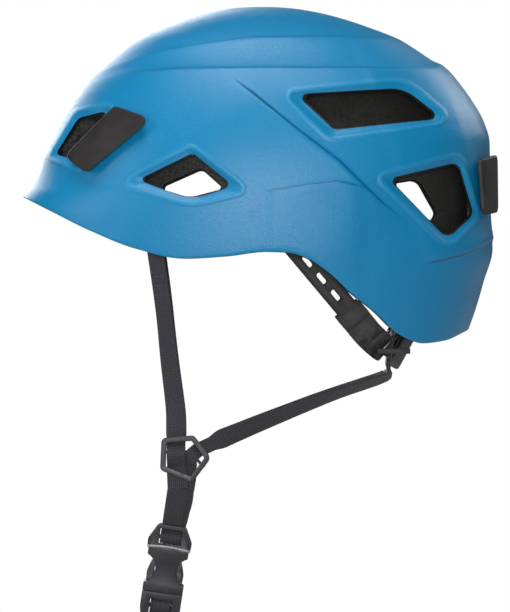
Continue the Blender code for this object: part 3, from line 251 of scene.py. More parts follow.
plastics = {
    "shellBlue": {"colour": (0.0002, 0.150, 0.330), "fleckColour": (0.004, 0.225, 0.430),
                  "wornColour": (0.10, 0.34, 0.55), "roughness": 0.36, "roughSpread": 0.08, "specular": 0.36,
                  "grainScale": 1150.0, "flecks": 0.5, "grainDepth": 0.00016, "wear": 0.12, "dust": 0.003,
                  # the shell's creases get painted shade, and its vent rims a painted highlight
                  "creases": ("creaseMain", "creaseSide", "creaseNape", "creaseBand", "creaseCrown"),
                  "rimHighlightColour": (0.05, 0.36, 0.62), "paintedCreaseShade": (0.0, 0.045, 0.13)},
    "clipPlastic": {"colour": (0.012, 0.0105, 0.011), "fleckColour": (0.022, 0.019, 0.020),
                    "wornColour": (0.06, 0.06, 0.06), "roughness": 0.5, "roughSpread": 0.1, "specular": 0.25,
                    "grainScale": 2100.0, "flecks": 0.3, "grainDepth": 0.00003, "wear": 0.25, "dust": 0.03},
    "buckleNylon": {"colour": (0.014, 0.014, 0.018), "fleckColour": (0.026, 0.026, 0.033),
                    "wornColour": (0.13, 0.13, 0.14), "roughness": 0.42, "roughSpread": 0.12, "specular": 0.3,
                    "grainScale": 2600.0, "flecks": 0.25, "grainDepth": 0.00002, "wear": 0.5, "dust": 0.03},
    "cradleNylon": {"colour": (0.004, 0.004, 0.0045), "fleckColour": (0.008, 0.008, 0.009),
                    "wornColour": (0.06, 0.06, 0.06), "roughness": 0.5, "roughSpread": 0.1, "specular": 0.25,
                    "grainScale": 2300.0, "flecks": 0.25, "grainDepth": 0.00002, "wear": 0.35, "dust": 0.03},
    # light grey for the buckle rib: a painted highlight
    "polishedGrey": {"colour": (0.20, 0.20, 0.22), "fleckColour": (0.27, 0.27, 0.29),
                     "wornColour": (0.34, 0.34, 0.36), "roughness": 0.3, "roughSpread": 0.1, "specular": 0.5,
                     "grainScale": 2600.0, "flecks": 0.2, "grainDepth": 0.00001, "wear": 0.3, "dust": 0.02},
    "dialGrey": {"colour": (0.045, 0.046, 0.049), "fleckColour": (0.070, 0.071, 0.075),
                 "wornColour": (0.16, 0.16, 0.16), "roughness": 0.48, "roughSpread": 0.1, "specular": 0.4,
                 "grainScale": 2100.0, "flecks": 0.3, "grainDepth": 0.00003, "wear": 0.4, "dust": 0.04},
}


def foamMaterial():
    look = {"colour": (0.016, 0.016, 0.014), "seam": (0.010, 0.010, 0.009), "beadScale": 380.0,
            "beadDepth": 0.00008}
    material, tree, shader, place = newMaterial("foamBlack", 0.72, Specular_IOR_Level=0.35)
    beads = useGroup(tree, "beads", Vector=place, Scale=look["beadScale"])
    dust = useGroup(tree, "dust", Vector=place, Amount=0.05)
    colour = mixColour(tree, beads["Shade"], rgb(*look["seam"]), rgb(*look["colour"]))
    put(tree, shader.inputs["Base Color"], mixColour(tree, dust["Mask"], colour, rgb(0.2, 0.2, 0.19)))
    put(tree, shader.inputs["Roughness"], ramp(tree, beads["Shade"], 0.0, 1.0, 0.9, 0.66))
    addBump(tree, shader, beads["Height"], look["beadDepth"])
    return material


def webbingMaterial(name, colour, light, depth):
    material, tree, shader, _ = newMaterial(name, 0.7, Specular_IOR_Level=0.3, Sheen_Weight=0.12,
                                            Sheen_Roughness=0.5)
    place = addNode(tree, "ShaderNodeUVMap", uv_map="weaveMap").outputs[0]
    weave = useGroup(tree, "weave", Vector=place)
    grain = useGroup(tree, "grain", Vector=place, Scale=900.0, Flecks=0.2)
    # the low parts of the weave take a darker copy of the colour: painted shade between the threads
    colour = mixColour(tree, weave["Shade"], rgb(*[c * 0.35 for c in colour]), rgb(*colour))
    put(tree, shader.inputs["Base Color"], mixColour(tree, calc(tree, "MULTIPLY", grain["Mask"], 0.35), colour,
                                                     rgb(*light)))
    put(tree, shader.inputs["Roughness"], ramp(tree, weave["Height"], 0.0, 1.0, 0.85, 0.55))
    addBump(tree, shader, weave["Height"], depth)
    return material


def padMaterial():
    look = {"colour": (0.030, 0.030, 0.034), "thread": (0.075, 0.076, 0.082), "knitScale": 900.0,
            "knitDepth": 0.00025}
    material, tree, shader, place = newMaterial("padMesh", 0.85, Specular_IOR_Level=0.25, Sheen_Weight=0.25,
                                                Sheen_Roughness=0.4)
    knit = addNode(tree, "ShaderNodeTexVoronoi", {"Vector": place, "Scale": look["knitScale"],
                                                  "Randomness": 0.25})
    holes = ramp(tree, knit.outputs["Distance"], 0.15, 0.42)
    dust = useGroup(tree, "dust", Vector=place, Amount=0.06)
    # the knit's holes go towards near black: painted shade inside the openings
    colour = mixColour(tree, holes, rgb(0.006, 0.006, 0.007), rgb(*look["thread"]))
    colour = mixColour(tree, 0.45, colour, rgb(*look["colour"]))
    put(tree, shader.inputs["Base Color"], mixColour(tree, dust["Mask"], colour, rgb(0.25, 0.25, 0.24)))
    addBump(tree, shader, holes, look["knitDepth"])
    return material


def steelMaterial():
    material, tree, shader, place = newMaterial("screwSteel", 0.28, Metallic=1.0)
    grain = useGroup(tree, "grain", Vector=place, Scale=2400.0, Flecks=0.3)
    wear = useGroup(tree, "wear", Vector=place, Amount=0.4)
    colour = mixColour(tree, grain["Mask"], rgb(0.44, 0.44, 0.46), rgb(0.60, 0.60, 0.62))
    put(tree, shader.inputs["Base Color"], mixColour(tree, wear["Mask"], colour, rgb(0.75, 0.75, 0.77)))
    put(tree, shader.inputs["Roughness"], ramp(tree, grain["Mask"], 0.0, 1.0, 0.24, 0.4))
    addBump(tree, shader, grain["Height"], 0.00001)
    return material


def threadMaterial(name, colour):
    material, tree, shader, place = newMaterial(name, 0.6, Sheen_Weight=0.3)
    twist = addNode(tree, "ShaderNodeTexWave", {"Vector": place, "Scale": 1500.0, "Distortion": 1.0})
    put(tree, shader.inputs["Base Color"], mixColour(tree, twist.outputs["Fac"], rgb(*[c * 0.6 for c in colour]),
                                                     rgb(*colour)))
    addBump(tree, shader, twist.outputs["Fac"], 0.00005)
    return material


looks = {name: plasticMaterial(name, look) for name, look in plastics.items()}
looks["foamBlack"] = foamMaterial()
looks["webbing"] = webbingMaterial("webbing", (0.026, 0.025, 0.033), (0.075, 0.073, 0.088), 0.00022)
looks["padMesh"] = padMaterial()
looks["screwSteel"] = steelMaterial()
looks["darkThread"] = threadMaterial("darkThread", (0.050, 0.049, 0.058))
looks["tealThread"] = threadMaterial("tealThread", (0.020, 0.130, 0.140))
print("materials:", len(looks), "with", len(groups), "shared groups")


# meshes are made in millimetres and go into the scene in metres

def addPiece(name, points, faces, look, sharp=38):
    mesh = bpy.data.meshes.new(name)
    mesh.from_pydata((np.asarray(points, float) * mm).tolist(), [], [list(f) for f in faces])
    piece = bpy.data.objects.new(name, mesh)
    bpy.context.scene.collection.objects.link(piece)
    mesh.materials.append(looks[look])
    faceOut(piece, sharp)
    return piece


def faceOut(piece, sharp=38):
    bm = bmesh.new()
    bm.from_mesh(piece.data)
    bmesh.ops.recalc_face_normals(bm, faces=bm.faces)
    bm.to_mesh(piece.data)
    bm.free()
    piece.data.shade_smooth()
    piece.data.set_sharp_from_angle(angle=radians(sharp))


def settle(piece):
    graph = bpy.context.evaluated_depsgraph_get()
    graph.update()
    mesh = bpy.data.meshes.new_from_object(piece.evaluated_get(graph))
    old, piece.data = piece.data, mesh
    piece.modifiers.clear()
    mesh.name = piece.name
    if old.users == 0:
        bpy.data.meshes.remove(old)
    return piece


def combine(piece, other, operation="DIFFERENCE", solver="MANIFOLD", sharp=38):
    step = piece.modifiers.new("combine", "BOOLEAN")
    step.operation = operation
    step.object = other
    step.solver = solver
    settle(piece)
    bpy.data.objects.remove(other)
    piece.data.shade_smooth()
    piece.data.set_sharp_from_angle(angle=radians(sharp))
    return piece


def give(piece, body, slot=None, *nodes):
    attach(piece, body)
    if nodes:
        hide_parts(*nodes)
    return piece


def roundedOutline(corners, steps=6):
    points = []
    count = len(corners)
    for i in range(count):
        here, before, after = (Vector(c[:2]) for c in (corners[i], corners[i - 1], corners[(i + 1) % count]))
        toBefore, toAfter = (before - here).normalized(), (after - here).normalized()
        half = toBefore.angle(toAfter) / 2
        run = min(corners[i][2] / tan(half), 0.48 * min((before - here).length, (after - here).length))
        radius = run * tan(half)
        centre = here + (toBefore + toAfter).normalized() * (radius / sin(half))
        start = here + toBefore * run - centre
        turn = start.angle_signed(here + toAfter * run - centre)
        for k in range(steps + 1):
            share = turn * k / steps
            points.append((centre.x + start.x * cos(share) + start.y * sin(share),
                           centre.y + start.y * cos(share) - start.x * sin(share)))
    return points


def prismParts(outline, low, high, axis, first=0):
    order = {"X": lambda p, h: (h, p[0], p[1]), "Y": lambda p, h: (p[0], h, p[1]),
             "Z": lambda p, h: (p[0], p[1], h)}[axis]
    count = len(outline)
    points = [order(p, low) for p in outline] + [order(p, high) for p in outline]
    faces = [[first + i for i in range(count)], [first + i for i in range(2 * count - 1, count - 1, -1)]]
    faces += [[first + i, first + (i + 1) % count, first + count + (i + 1) % count, first + count + i]
              for i in range(count)]
    return points, faces


# the head-shaped surface: plan outline, reach in front and behind, and width by height

shellForm = {
    "crownZ": 29.6, "crownX": -8.0, "halfWidth": 104.0, "widestZ": -88.0, "napeTaper": 12.0, "wall": 2.2,
    "frontPower": 2.05, "backPower": 2.35, "crownPower": 2.1,
    "frontReach": [(0, 0), (0.9, 18.7), (3.6, 32.9), (7.7, 47.1), (13, 61.3), (19.5, 75.5), (30.2, 89.7),
                   (43.2, 103.9), (57.4, 114), (71.6, 122.3), (85.8, 129.4), (98, 133.4), (105, 137.2),
                   (111.9, 142.4), (125, 147.5), (150, 150), (200, 150)],
    "backReach": [(0, 0), (0.9, 16.9), (4.7, 38.2), (11.2, 59.5), (19.5, 80.8), (27.2, 95), (37.3, 109.2),
                  (45.6, 116.3), (55.6, 123.4), (68.1, 130.5), (80, 133.8), (105, 134.3), (128.5, 134.6),
                  (143, 135.6), (164, 129.9), (178.2, 125.8), (200, 118)],
    "rim": [(-150, -158), (-130, -161), (-115, -167), (-101.5, -168.6), (-87.5, -163.4), (-73.5, -150.5),
            (-59.5, -139.4), (-45.5, -126.6), (-33, -118.5), (-22, -115.4), (-10, -114.9), (14, -117.6),
            (38.5, -119), (66.5, -113.2), (94.5, -102.1), (114, -92.5), (134.4, -82.3), (160, -70)],
    "columns": 384, "rings": 176, "innerRings": 40,
}


def smoothCurve(points, at):
    xs, ys = np.array(points, float).T
    steps = np.diff(ys) / np.diff(xs)
    slopes = np.concatenate(([steps[0]], np.zeros(len(steps) - 1), [steps[-1]]))
    before, after = steps[:-1], steps[1:]
    same = before * after > 0
    slopes[1:-1][same] = 2 * before[same] * after[same] / (before[same] + after[same])
    at = np.clip(np.asarray(at, float), xs[0], xs[-1])
    i = np.clip(np.searchsorted(xs, at, side="right") - 1, 0, len(xs) - 2)
    h = xs[i + 1] - xs[i]
    t = (at - xs[i]) / h
    return ((2 * t**3 - 3 * t**2 + 1) * ys[i] + (t**3 - 2 * t**2 + t) * h * slopes[i]
            + (3 * t**2 - 2 * t**3) * ys[i + 1] + (t**3 - t**2) * h * slopes[i + 1])


def skinPoints(angle, z):
    form = shellForm
    angle, z = np.broadcast_arrays(np.asarray(angle, float), np.asarray(z, float))
    c, s = np.cos(angle), np.sin(angle)
    rooted = np.sqrt(np.maximum(form["crownZ"] - z, 0))
    front, back = (smoothCurve([(sqrt(d), r) for d, r in form[key]], rooted)
                   for key in ("frontReach", "backReach"))
    ahead = np.where(c >= 0, front, back)
    power = np.where(c >= 0, form["frontPower"], form["backPower"])
    stretch = (np.abs(c)**power + np.abs(s)**power) ** (-1 / power)
    share = np.clip((z - form["widestZ"]) / (form["crownZ"] - form["widestZ"]), 0, 1)
    upper = form["halfWidth"] * (1 - share**form["crownPower"]) ** (1 / form["crownPower"])
    lower = form["halfWidth"] - form["napeTaper"] * ((form["widestZ"] - z) / 80) ** 2
    wide = np.where(z >= form["widestZ"], upper, lower)
    return np.stack([form["crownX"] + ahead * c * stretch, wide * s * stretch, z + 0 * c], -1)


def insetSkin(angle, z, inset):
    form = shellForm
    angle, z, inset = np.broadcast_arrays(*(np.asarray(v, float) for v in (angle, z, inset)))
    around = skinPoints(angle + 0.02, z) - skinPoints(angle - 0.02, z)
    lower = np.maximum(form["crownZ"] - z, 0.3) * 0.05
    down = skinPoints(angle, z - lower) - skinPoints(angle, z + lower)
    inward = np.cross(around, down)
    inward /= np.linalg.norm(inward, axis=-1, keepdims=True)
    here = skinPoints(angle, z)
    middle = np.array([form["crownX"], 0, form["widestZ"]])
    inward *= np.where(((middle - here) * inward).sum(-1, keepdims=True) < 0, -1, 1)
    return here + inward * inset[..., None]


def rimHeight(angle, rim, inset):
    low = np.full(angle.shape, -185.0)
    high = np.full(angle.shape, shellForm["crownZ"] - 20)
    for _ in range(32):
        middle = (low + high) / 2
        point = insetSkin(angle, middle, inset)
        above = point[..., 2] > smoothCurve(rim, point[..., 0])
        high = np.where(above, middle, high)
        low = np.where(above, low, middle)
    return (low + high) / 2


def step01(low, high, value):
    t = np.clip((value - low) / (high - low), 0, 1)
    return t * t * (3 - 2 * t)


def segmentsNear(points, x, z, closed):
    a = np.array(points, float)
    b = np.roll(a, -1, 0) if closed else a[1:]
    a = a if closed else a[:-1]
    along = b - a
    p = np.stack([x, z], -1)[:, None, :]
    t = np.clip(((p - a) * along).sum(-1) / (along**2).sum(-1), 0, 1)
    gap = p - (a + t[..., None] * along)
    return a, b, along, p, t, np.sqrt((gap**2).sum(-1))


def outlineDistance(points, x, z):
    a, b, _, _, _, gaps = segmentsNear(points, x, z, True)
    crosses = (a[:, 1] > z[:, None]) != (b[:, 1] > z[:, None])
    rise = np.where(b[:, 1] == a[:, 1], 1e-9, b[:, 1] - a[:, 1])
    at = a[:, 0] + (z[:, None] - a[:, 1]) * (b[:, 0] - a[:, 0]) / rise
    inside = ((x[:, None] < at) & crosses).sum(1) % 2 == 1
    return np.where(inside, -1, 1) * gaps.min(1)


def lineDistance(points, x, z):
    a, _, along, p, _, gaps = segmentsNear(points, x, z, False)
    near = gaps.argmin(1)
    rows = np.arange(len(x))
    offset = (p - a)[rows, near]
    way = along[near]
    side = np.where(way[:, 0] * offset[:, 1] - way[:, 1] * offset[:, 0] >= 0, 1, -1)
    chord = np.array(points[-1], float) - points[0]
    share = ((p[:, 0] - points[0]) * chord).sum(-1) / (chord**2).sum()
    return side * gaps[rows, near], share


# holes in the shell, each in a sloping recess of its own
vents = {
    "side": {"hole": [(65.5, -73.4, 2), (33.2, -57.8, 4), (9.5, -77, 3), (34, -85.4, 30)], "pocket": 9.0,
             "way": [(54.5, -77.8, 2), (28.5, -66.2, 4), (14.8, -78.4, 2), (35.5, -83.8, 16)],
             "recess": [(76, -75.5, 3), (34.3, -53.9, 5), (0.7, -79.8, 3), (34, -88, 34)], "depth": 2.6},
    "rear": {"hole": [(-80.5, -72.8, 3), (-122, -62.8, 5), (-131.5, -93.5, 6), (-115.5, -108, 6)], "pocket": 9.0,
             "way": [(-83.6, -75, 2), (-99, -72.6, 6), (-110, -92.5, 4), (-106.5, -98.5, 3)],
             "recess": [(-74, -71.5, 3), (-123, -58.5, 6), (-135, -94, 7), (-116, -113, 8)], "depth": 2.2},
    "upper": {"hole": [(-26.5, -23.4, 3), (-90, -19.4, 22), (-113, -37.4, 3), (-49, -44.4, 5)], "pocket": 14.0,
              "recess": [(-18, -22.5, 4), (-91, -14.5, 24), (-119, -38.4, 4), (-47, -49.4, 6)], "depth": 2.4},
    "brow": {"hole": [(114.5, -58, 2), (101, -36.6, 5), (84.5, -32.8, 3), (82, -46, 4), (100, -62, 4)],
             "recess": [(119, -60, 3), (103, -33, 6), (82, -28.8, 4), (77, -46, 5), (99, -67, 5)], "depth": 2.0},
}
# each crease is a raised step; the shell material also paints a thin line of shade along it, and the optional weight
# scales that painted shade and the step
creases = {
    "main": {"line": [(12, -12), (0, -21.5), (-29, -45), (-52.6, -63), (-63, -73.5), (-77.7, -87.5), (-92, -98)],
             "rise": 1.9, "width": 1.3, "reach": 30},
    "side": {"line": [(-8, -80.2), (-16.4, -79.4), (-36, -76.5), (-52.5, -74.7), (-63.6, -77), (-70, -80)],
             "rise": 0.9, "width": 1.2, "reach": 7, "start": 0.5},
    "nape": {"line": [(-150, -105.5), (-144.4, -107.7), (-127, -116), (-113, -120), (-100, -122)],
             "rise": 1.2, "width": 1.6, "reach": 14},
    "band": {"line": [(84, -14.5), (64, -9.5), (40, -8.2), (0, -7.7), (-60, -7.7), (-105.5, -7.7)],
             "rise": 0.5, "width": 1.4, "reach": 12, "shadeAndStep": 0.35},
    "crown": {"line": [(84, -6), (66, -1.5), (50, 3), (20, 8), (0, 10.4), (-50, 11), (-82, 10.4), (-100, 8)],
              "rise": 0.45, "width": 1.4, "reach": 12, "shadeAndStep": 0.25},
}
crownBand = {"upper": [(-118, 0), (-105, 7), (-82, 10.4), (0, 10.4), (50, 3), (84, -8), (100, -16)],
             "lower": [(-118, -3), (-105.5, -7.7), (0, -7.7), (64, -9), (84, -13), (100, -18)], "depth": 1.3}


def shellShape(points):
    x, z = points[..., 0].ravel(), points[..., 2].ravel()
    lift = np.zeros(len(x))
    for vent in vents.values():
        recess = np.array(roundedOutline(vent["recess"]))
        low, high = recess.min(0) - 1, recess.max(0) + 1
        near = np.flatnonzero((x > low[0]) & (x < high[0]) & (z > low[1]) & (z < high[1]))
        if len(near) == 0:
            continue
        outside = -outlineDistance(recess, x[near], z[near])
        hole = outlineDistance(np.array(roundedOutline(vent["hole"])), x[near], z[near])
        share = np.clip(outside / np.maximum(outside + np.maximum(hole, 0), 1e-6), 0, 1)
        lift[near] -= vent["depth"] * np.where(outside > 0, step01(0, 1, share) * 0.6 + share * 0.4, 0)
    for crease in creases.values():
        gap, share = lineDistance(crease["line"], x, z)
        ends = step01(0, crease.get("start", 0.16), share) * (1 - step01(0.75, 1, share))
        proud = step01(-crease["width"], crease["width"], gap) * np.exp(-np.maximum(gap, 0) / crease["reach"])
        lift += crease["rise"] * ends * proud
    top, bottom = (smoothCurve(crownBand[key], x) for key in ("upper", "lower"))
    share = np.clip((z - bottom) / np.maximum(top - bottom, 0.5), 0, 1)
    wide = step01(2, 14, top - bottom) * step01(-118, -108, x)
    lift -= crownBand["depth"] * wide * 4 * share * (1 - share)
    return lift.reshape(points.shape[:-1])


def domePiece(name, rim, outer, inner, columns, rings, innerRings, look, shape):
    angles = 2 * pi * (np.arange(columns) + 0.5) / columns
    crown, crownX = shellForm["crownZ"], shellForm["crownX"]
    points, layers, edges = [], [], []
    for inset, count in ((outer, rings), (inner, innerRings)):
        bottom = crown - rimHeight(angles, rim, inset)
        share = np.arange(1, count + 1) / count
        z = crown - bottom[:, None] * (1 - np.cos(share * pi / 2)) ** 1.05
        grid = insetSkin(angles[:, None], z, inset)
        outward = insetSkin(angles[:, None], z, inset - 1) - grid
        fade = step01(0, 1, (1 - share) * count / 2)[None, :]
        grid = grid + outward * (shape(grid) * fade)[..., None]
        layers.append((len(points), count))
        points.append((crownX, 0, crown - inset))
        points += grid.reshape(-1, 3).tolist()
        edges.append((grid[:, -1], grid[:, -2]))
    faces = []
    for first, count in layers:
        for column in range(columns):
            here = first + 1 + column * count
            after = first + 1 + (column + 1) % columns * count
            faces.append((first, here, after))
            faces += [(here + r, here + r + 1, after + r + 1, after + r) for r in range(count - 1)]
    down = edges[0][0] - edges[0][1]
    down /= np.linalg.norm(down, axis=1, keepdims=True)
    lip = len(points)
    wall = (inner - outer) * 0.22
    for share in (0.2, 0.8):
        points += (edges[0][0] * (1 - share) + edges[1][0] * share + down * wall).tolist()
    rows = [[layers[0][0] + (c + 1) * rings for c in range(columns)],
            [lip + c for c in range(columns)], [lip + columns + c for c in range(columns)],
            [layers[1][0] + (c + 1) * innerRings for c in range(columns)]]
    for one, two in zip(rows, rows[1:]):
        faces += [(one[c], two[c], two[(c + 1) % columns], one[(c + 1) % columns]) for c in range(columns)]
    return addPiece(name, points, faces, look, 50)


def scaledCorners(corners, share):
    hole = np.array(corners, float)
    middle = hole[:, :2].mean(0)
    return np.column_stack([middle + (hole[:, :2] - middle) * share, hole[:, 2] * share]).tolist()


def ventCutter(outlines, corners=8):
    points, faces = [], []
    for outline in outlines:
        for _, side in sides:
            low, high = sorted((side * 24, side * 120))
            more, around = prismParts(roundedOutline(outline, corners), low, high, "Y", len(points))
            points += more
            faces += around
    return addPiece("ventCutter", points, faces, "foamBlack")


form = shellForm
shell = domePiece("shell", form["rim"], 0, form["wall"], form["columns"], form["rings"], form["innerRings"],
                  "shellBlue", shellShape)
combine(shell, ventCutter([vent["hole"] for vent in vents.values()]), sharp=44)


def storeCreases(piece):
    places = np.array([v.co for v in piece.data.vertices]) / mm
    # ventRim: distance to the nearest vent recess outline, which places the painted rim highlight
    rim = np.full(len(places), 12.0)
    for vent in vents.values():
        recess = np.array(roundedOutline(vent["recess"]))
        near = np.flatnonzero((np.abs(places[:, (0, 2)] - recess.mean(0)) < np.ptp(recess, 0) / 2 + 16).all(1))
        gap = outlineDistance(recess, places[near, 0], places[near, 2])
        rim[near] = np.where(np.abs(gap) < np.abs(rim[near]), gap, rim[near])
    piece.data.attributes.new("ventRim", "FLOAT", "POINT").data.foreach_set("value", rim.astype(np.float32))
    # crease attributes carry the gap to the line and its fade, which place the painted shade line and the bump step
    for name, crease in creases.items():
        gap, share = lineDistance(crease["line"], places[:, 0], places[:, 2])
        fade = step01(0, 0.12, share) * (1 - step01(0.82, 1, share)) * crease.get("shadeAndStep", 1.0)
        values = np.column_stack([np.clip(gap, -12, 12), fade, np.zeros(len(gap))]).astype(np.float32)
        layer = piece.data.attributes.new(f"crease{name.title()}", "FLOAT_VECTOR", "POINT")
        layer.data.foreach_set("vector", values.ravel())


storeCreases(shell)
give(shell, "helmet", "shell_plastic", "outer_shell")
print("shell:", len(shell.data.polygons), "faces")

linerForm = {"gap": 1.1, "wall": 20.0, "pocketShare": 0.95, "columns": 240, "rings": 70, "innerRings": 60,
             "rim": [(-150, -146), (-128, -147), (-100, -149), (-72, -138), (-45, -116), (-20, -106),
                     (20, -108), (60, -104), (90, -88), (112, -68), (140, -50)],
             "channelDeep": 2.2, "channelAngles": (20, 58, 98, 140), "channelHalf": (3.0, 6.0),
             "channelFade": (55, 75), "outerShare": 0.9, "wayShare": 0.84, "slabLead": 2.5,
             "slabSteps": (180, 60, 60)}


# the foam's inner face carries air channels; its outer face follows the shell's form
def linerShape(points):
    if points.shape[1] != linerForm["innerRings"]:
        return shellShape(points) * linerForm["outerShare"]
    angle = np.abs(np.degrees(np.arctan2(points[..., 1], points[..., 0] - shellForm["crownX"])))
    groove = np.zeros(angle.shape)
    for middle in linerForm["channelAngles"]:
        groove = np.maximum(groove, 1 - step01(*linerForm["channelHalf"], np.abs(angle - middle)))
    start, full = (shellForm["crownZ"] - drop for drop in linerForm["channelFade"])
    low = step01(start, full, points[..., 2])
    return linerForm["channelDeep"] * groove * low


linerGap = shellForm["wall"] + linerForm["gap"]
liner = domePiece("liner", linerForm["rim"], linerGap, linerGap + linerForm["wall"], linerForm["columns"],
                  linerForm["rings"], linerForm["innerRings"], "foamBlack", linerShape)


def noLift(points):
    return np.zeros(points.shape[:-1])


def pocketCutter(outline, deep):
    slab = domePiece("slab", linerForm["rim"], linerGap - linerForm["slabLead"], linerGap + deep,
                     *linerForm["slabSteps"], "foamBlack", noLift)
    return combine(slab, ventCutter([outline]), "INTERSECT")


for vent in vents.values():
    if "pocket" in vent:
        combine(liner, pocketCutter(scaledCorners(vent["hole"], linerForm["pocketShare"]), vent["pocket"]))
ways = [vents["side"]["way"], vents["rear"]["way"], scaledCorners(vents["brow"]["hole"], linerForm["wayShare"])]
combine(liner, ventCutter(ways), sharp=40)
give(liner, "helmet", "liner_foam", "foam_liner")
print("liner:", len(liner.data.polygons), "faces")


# hard nylon pieces: the CAD solid with its edges rounded over

def roundedNode(node, body, slot, look, edge=0.4, sharp=32):
    bm = bmesh.new()
    bm.from_mesh(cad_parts[node].data)
    bmesh.ops.remove_doubles(bm, verts=bm.verts, dist=0.00002)
    bmesh.ops.dissolve_limit(bm, angle_limit=radians(1.5), verts=bm.verts, edges=bm.edges)
    mesh = bpy.data.meshes.new(f"{node}_look")
    bm.to_mesh(mesh)
    bm.free()
    piece = bpy.data.objects.new(f"{node}_look", mesh)
    bpy.context.scene.collection.objects.link(piece)
    mesh.materials.clear()
    mesh.materials.append(looks[look])
    bevel = piece.modifiers.new("roundedEdges", "BEVEL")
    bevel.width = edge * mm
    bevel.segments = 2
    bevel.limit_method = "ANGLE"
    bevel.angle_limit = radians(sharp)
    bevel.use_clamp_overlap = True
    settle(piece)
    piece.data.shade_smooth()
    piece.data.set_sharp_from_angle(angle=radians(42))
    return give(piece, body, slot, node)


hardPieces = {
    "divider_left": ("divider_left", "moulded_nylon", "buckleNylon", 0.55),
    "divider_right": ("divider_right", "moulded_nylon", "buckleNylon", 0.55),
    "front_anchor_left": ("helmet", "moulded_nylon", "cradleNylon", 0.4),
    "front_anchor_right": ("helmet", "moulded_nylon", "cradleNylon", 0.4),
    "rear_anchor_left": ("helmet", "moulded_nylon", "cradleNylon", 0.4),
    "rear_anchor_right": ("helmet", "moulded_nylon", "cradleNylon", 0.4),
    "buckle_socket": ("helmet", "moulded_nylon", "buckleNylon", 0.5),
    "buckle_plug": ("plug", "moulded_nylon", "buckleNylon", 0.5),
    "prong_front": ("prong_front", "moulded_nylon", "buckleNylon", 0.5),
    "prong_rear": ("prong_rear", "moulded_nylon", "buckleNylon", 0.5),
    "nape_cradle": ("cradle", "cradle_nylon", "cradleNylon", 0.35),
    "ratchet_back": ("cradle", "cradle_nylon", "cradleNylon", 0.4),
    "ratchet_cover": ("cradle", "cradle_nylon", "cradleNylon", 0.5),
    "pinion": ("dial", "cradle_nylon", "dialGrey", 0.1),
    "rack_left": ("rack_left", "cradle_nylon", "dialGrey", 0.12),
    "rack_right": ("rack_right", "cradle_nylon", "dialGrey", 0.12),
    "band_arm_left": ("helmet", "cradle_nylon", "cradleNylon", 0.35),
    "band_arm_right": ("helmet", "cradle_nylon", "cradleNylon", 0.35),
    "temple_peg_left": ("helmet", "cradle_nylon", "cradleNylon", 0.4),
    "temple_peg_right": ("helmet", "cradle_nylon", "cradleNylon", 0.4),
    "dial_screw": ("cradle", "screw_steel", "screwSteel", 0.25),
}
for node, (body, slot, look, edge) in hardPieces.items():
    roundedNode(node, body, slot, look, edge)
print("hard pieces:", len(hardPieces))


def rodParts(path, radius, sides=10):
    points, faces = [], []
    count = len(path)
    for i, point in enumerate(path):
        along = (path[min(i + 1, count - 1)] - path[max(i - 1, 0)]).normalized()
        first = along.cross(Vector((0, 1, 0.3))).normalized()
        second = along.cross(first)
        size = radius * (0.55 if i in (0, count - 1) else 1)
        points += [point + (first * cos(2 * pi * k / sides) + second * sin(2 * pi * k / sides)) * size
                   for k in range(sides)]
    faces += [(sides * i + k, sides * i + (k + 1) % sides, sides * (i + 1) + (k + 1) % sides, sides * (i + 1) + k)
              for i in range(count - 1) for k in range(sides)]
    faces += [tuple(range(sides - 1, -1, -1)), tuple(range(sides * (count - 1), sides * count))]
    return points, faces


# headlamp clips: plates that follow the skin, with rounded edges

def onSkin(flat, z, inset, start, axis, turns=14):
    angle, height = np.full(len(flat), start), z.copy()
    for _ in range(turns):
        here = insetSkin(angle, height, inset)
        ahead = insetSkin(angle + 0.01, height, inset)
        slope = (ahead[:, axis] - here[:, axis]) / 0.01
        angle = angle + np.clip((flat - here[:, axis]) / slope, -0.12, 0.12)
        height = height + np.clip(z - here[:, 2], -4, 4)
    return insetSkin(angle, height, inset)


def skinPlate(corners, axis, start, room, thick, edge):
    outline = np.array(roundedOutline(corners, 8))
    centre = outline.mean(0)
    radius = np.linalg.norm(outline - centre, axis=1).mean()
    inner = [k / 9 for k in range(1, 9)]
    arc = [(edge * (1 - sin(a)), edge * (1 - cos(a))) for a in (pi / 2, pi / 3, pi / 6, 0)]
    profile = [(1 - s, 0) for s in inner] + [(d / radius, e) for d, e in reversed(arc)]
    profile += [(d / radius, thick - e) for d, e in arc] + [(1 - s, thick) for s in reversed(inner)]
    points = []
    for share, lift in profile:
        ring = centre + (outline - centre) * (1 - share)
        points += onSkin(ring[:, 0], ring[:, 1], -(room + lift), start, axis).tolist()
    count, rows = len(outline), len(profile)
    faces = [(r * count + i, r * count + (i + 1) % count, (r + 1) * count + (i + 1) % count, (r + 1) * count + i)
             for r in range(rows - 1) for i in range(count)]
    for row, lift in ((0, 0), (rows - 1, thick)):
        points += onSkin(centre[:1], centre[1:], -(room + lift), start, axis).tolist()
        faces += [(row * count + i, row * count + (i + 1) % count, len(points) - 1) for i in range(count)]
    return np.array(points), faces


def skinBlock(angles, heights, insets, count=6):
    points, faces = [], []
    size = count + 1
    for inset in insets:
        angle, z = np.meshgrid(np.linspace(*angles, size), np.linspace(*heights, size), indexing="ij")
        points += insetSkin(angle, z, inset).reshape(-1, 3).tolist()

    def at(i, k, level):
        return level * size * size + i * size + k

    for level in (0, 1):
        faces += [(at(i, k, level), at(i + 1, k, level), at(i + 1, k + 1, level), at(i, k + 1, level))
                  for i in range(count) for k in range(count)]
    for i in range(count):
        for a, b in (((i, 0), (i + 1, 0)), ((i, count), (i + 1, count)), ((0, i), (0, i + 1)),
                     ((count, i), (count, i + 1))):
            faces.append((at(*a, 0), at(*b, 0), at(*b, 1), at(*a, 1)))
    return np.array(points), faces


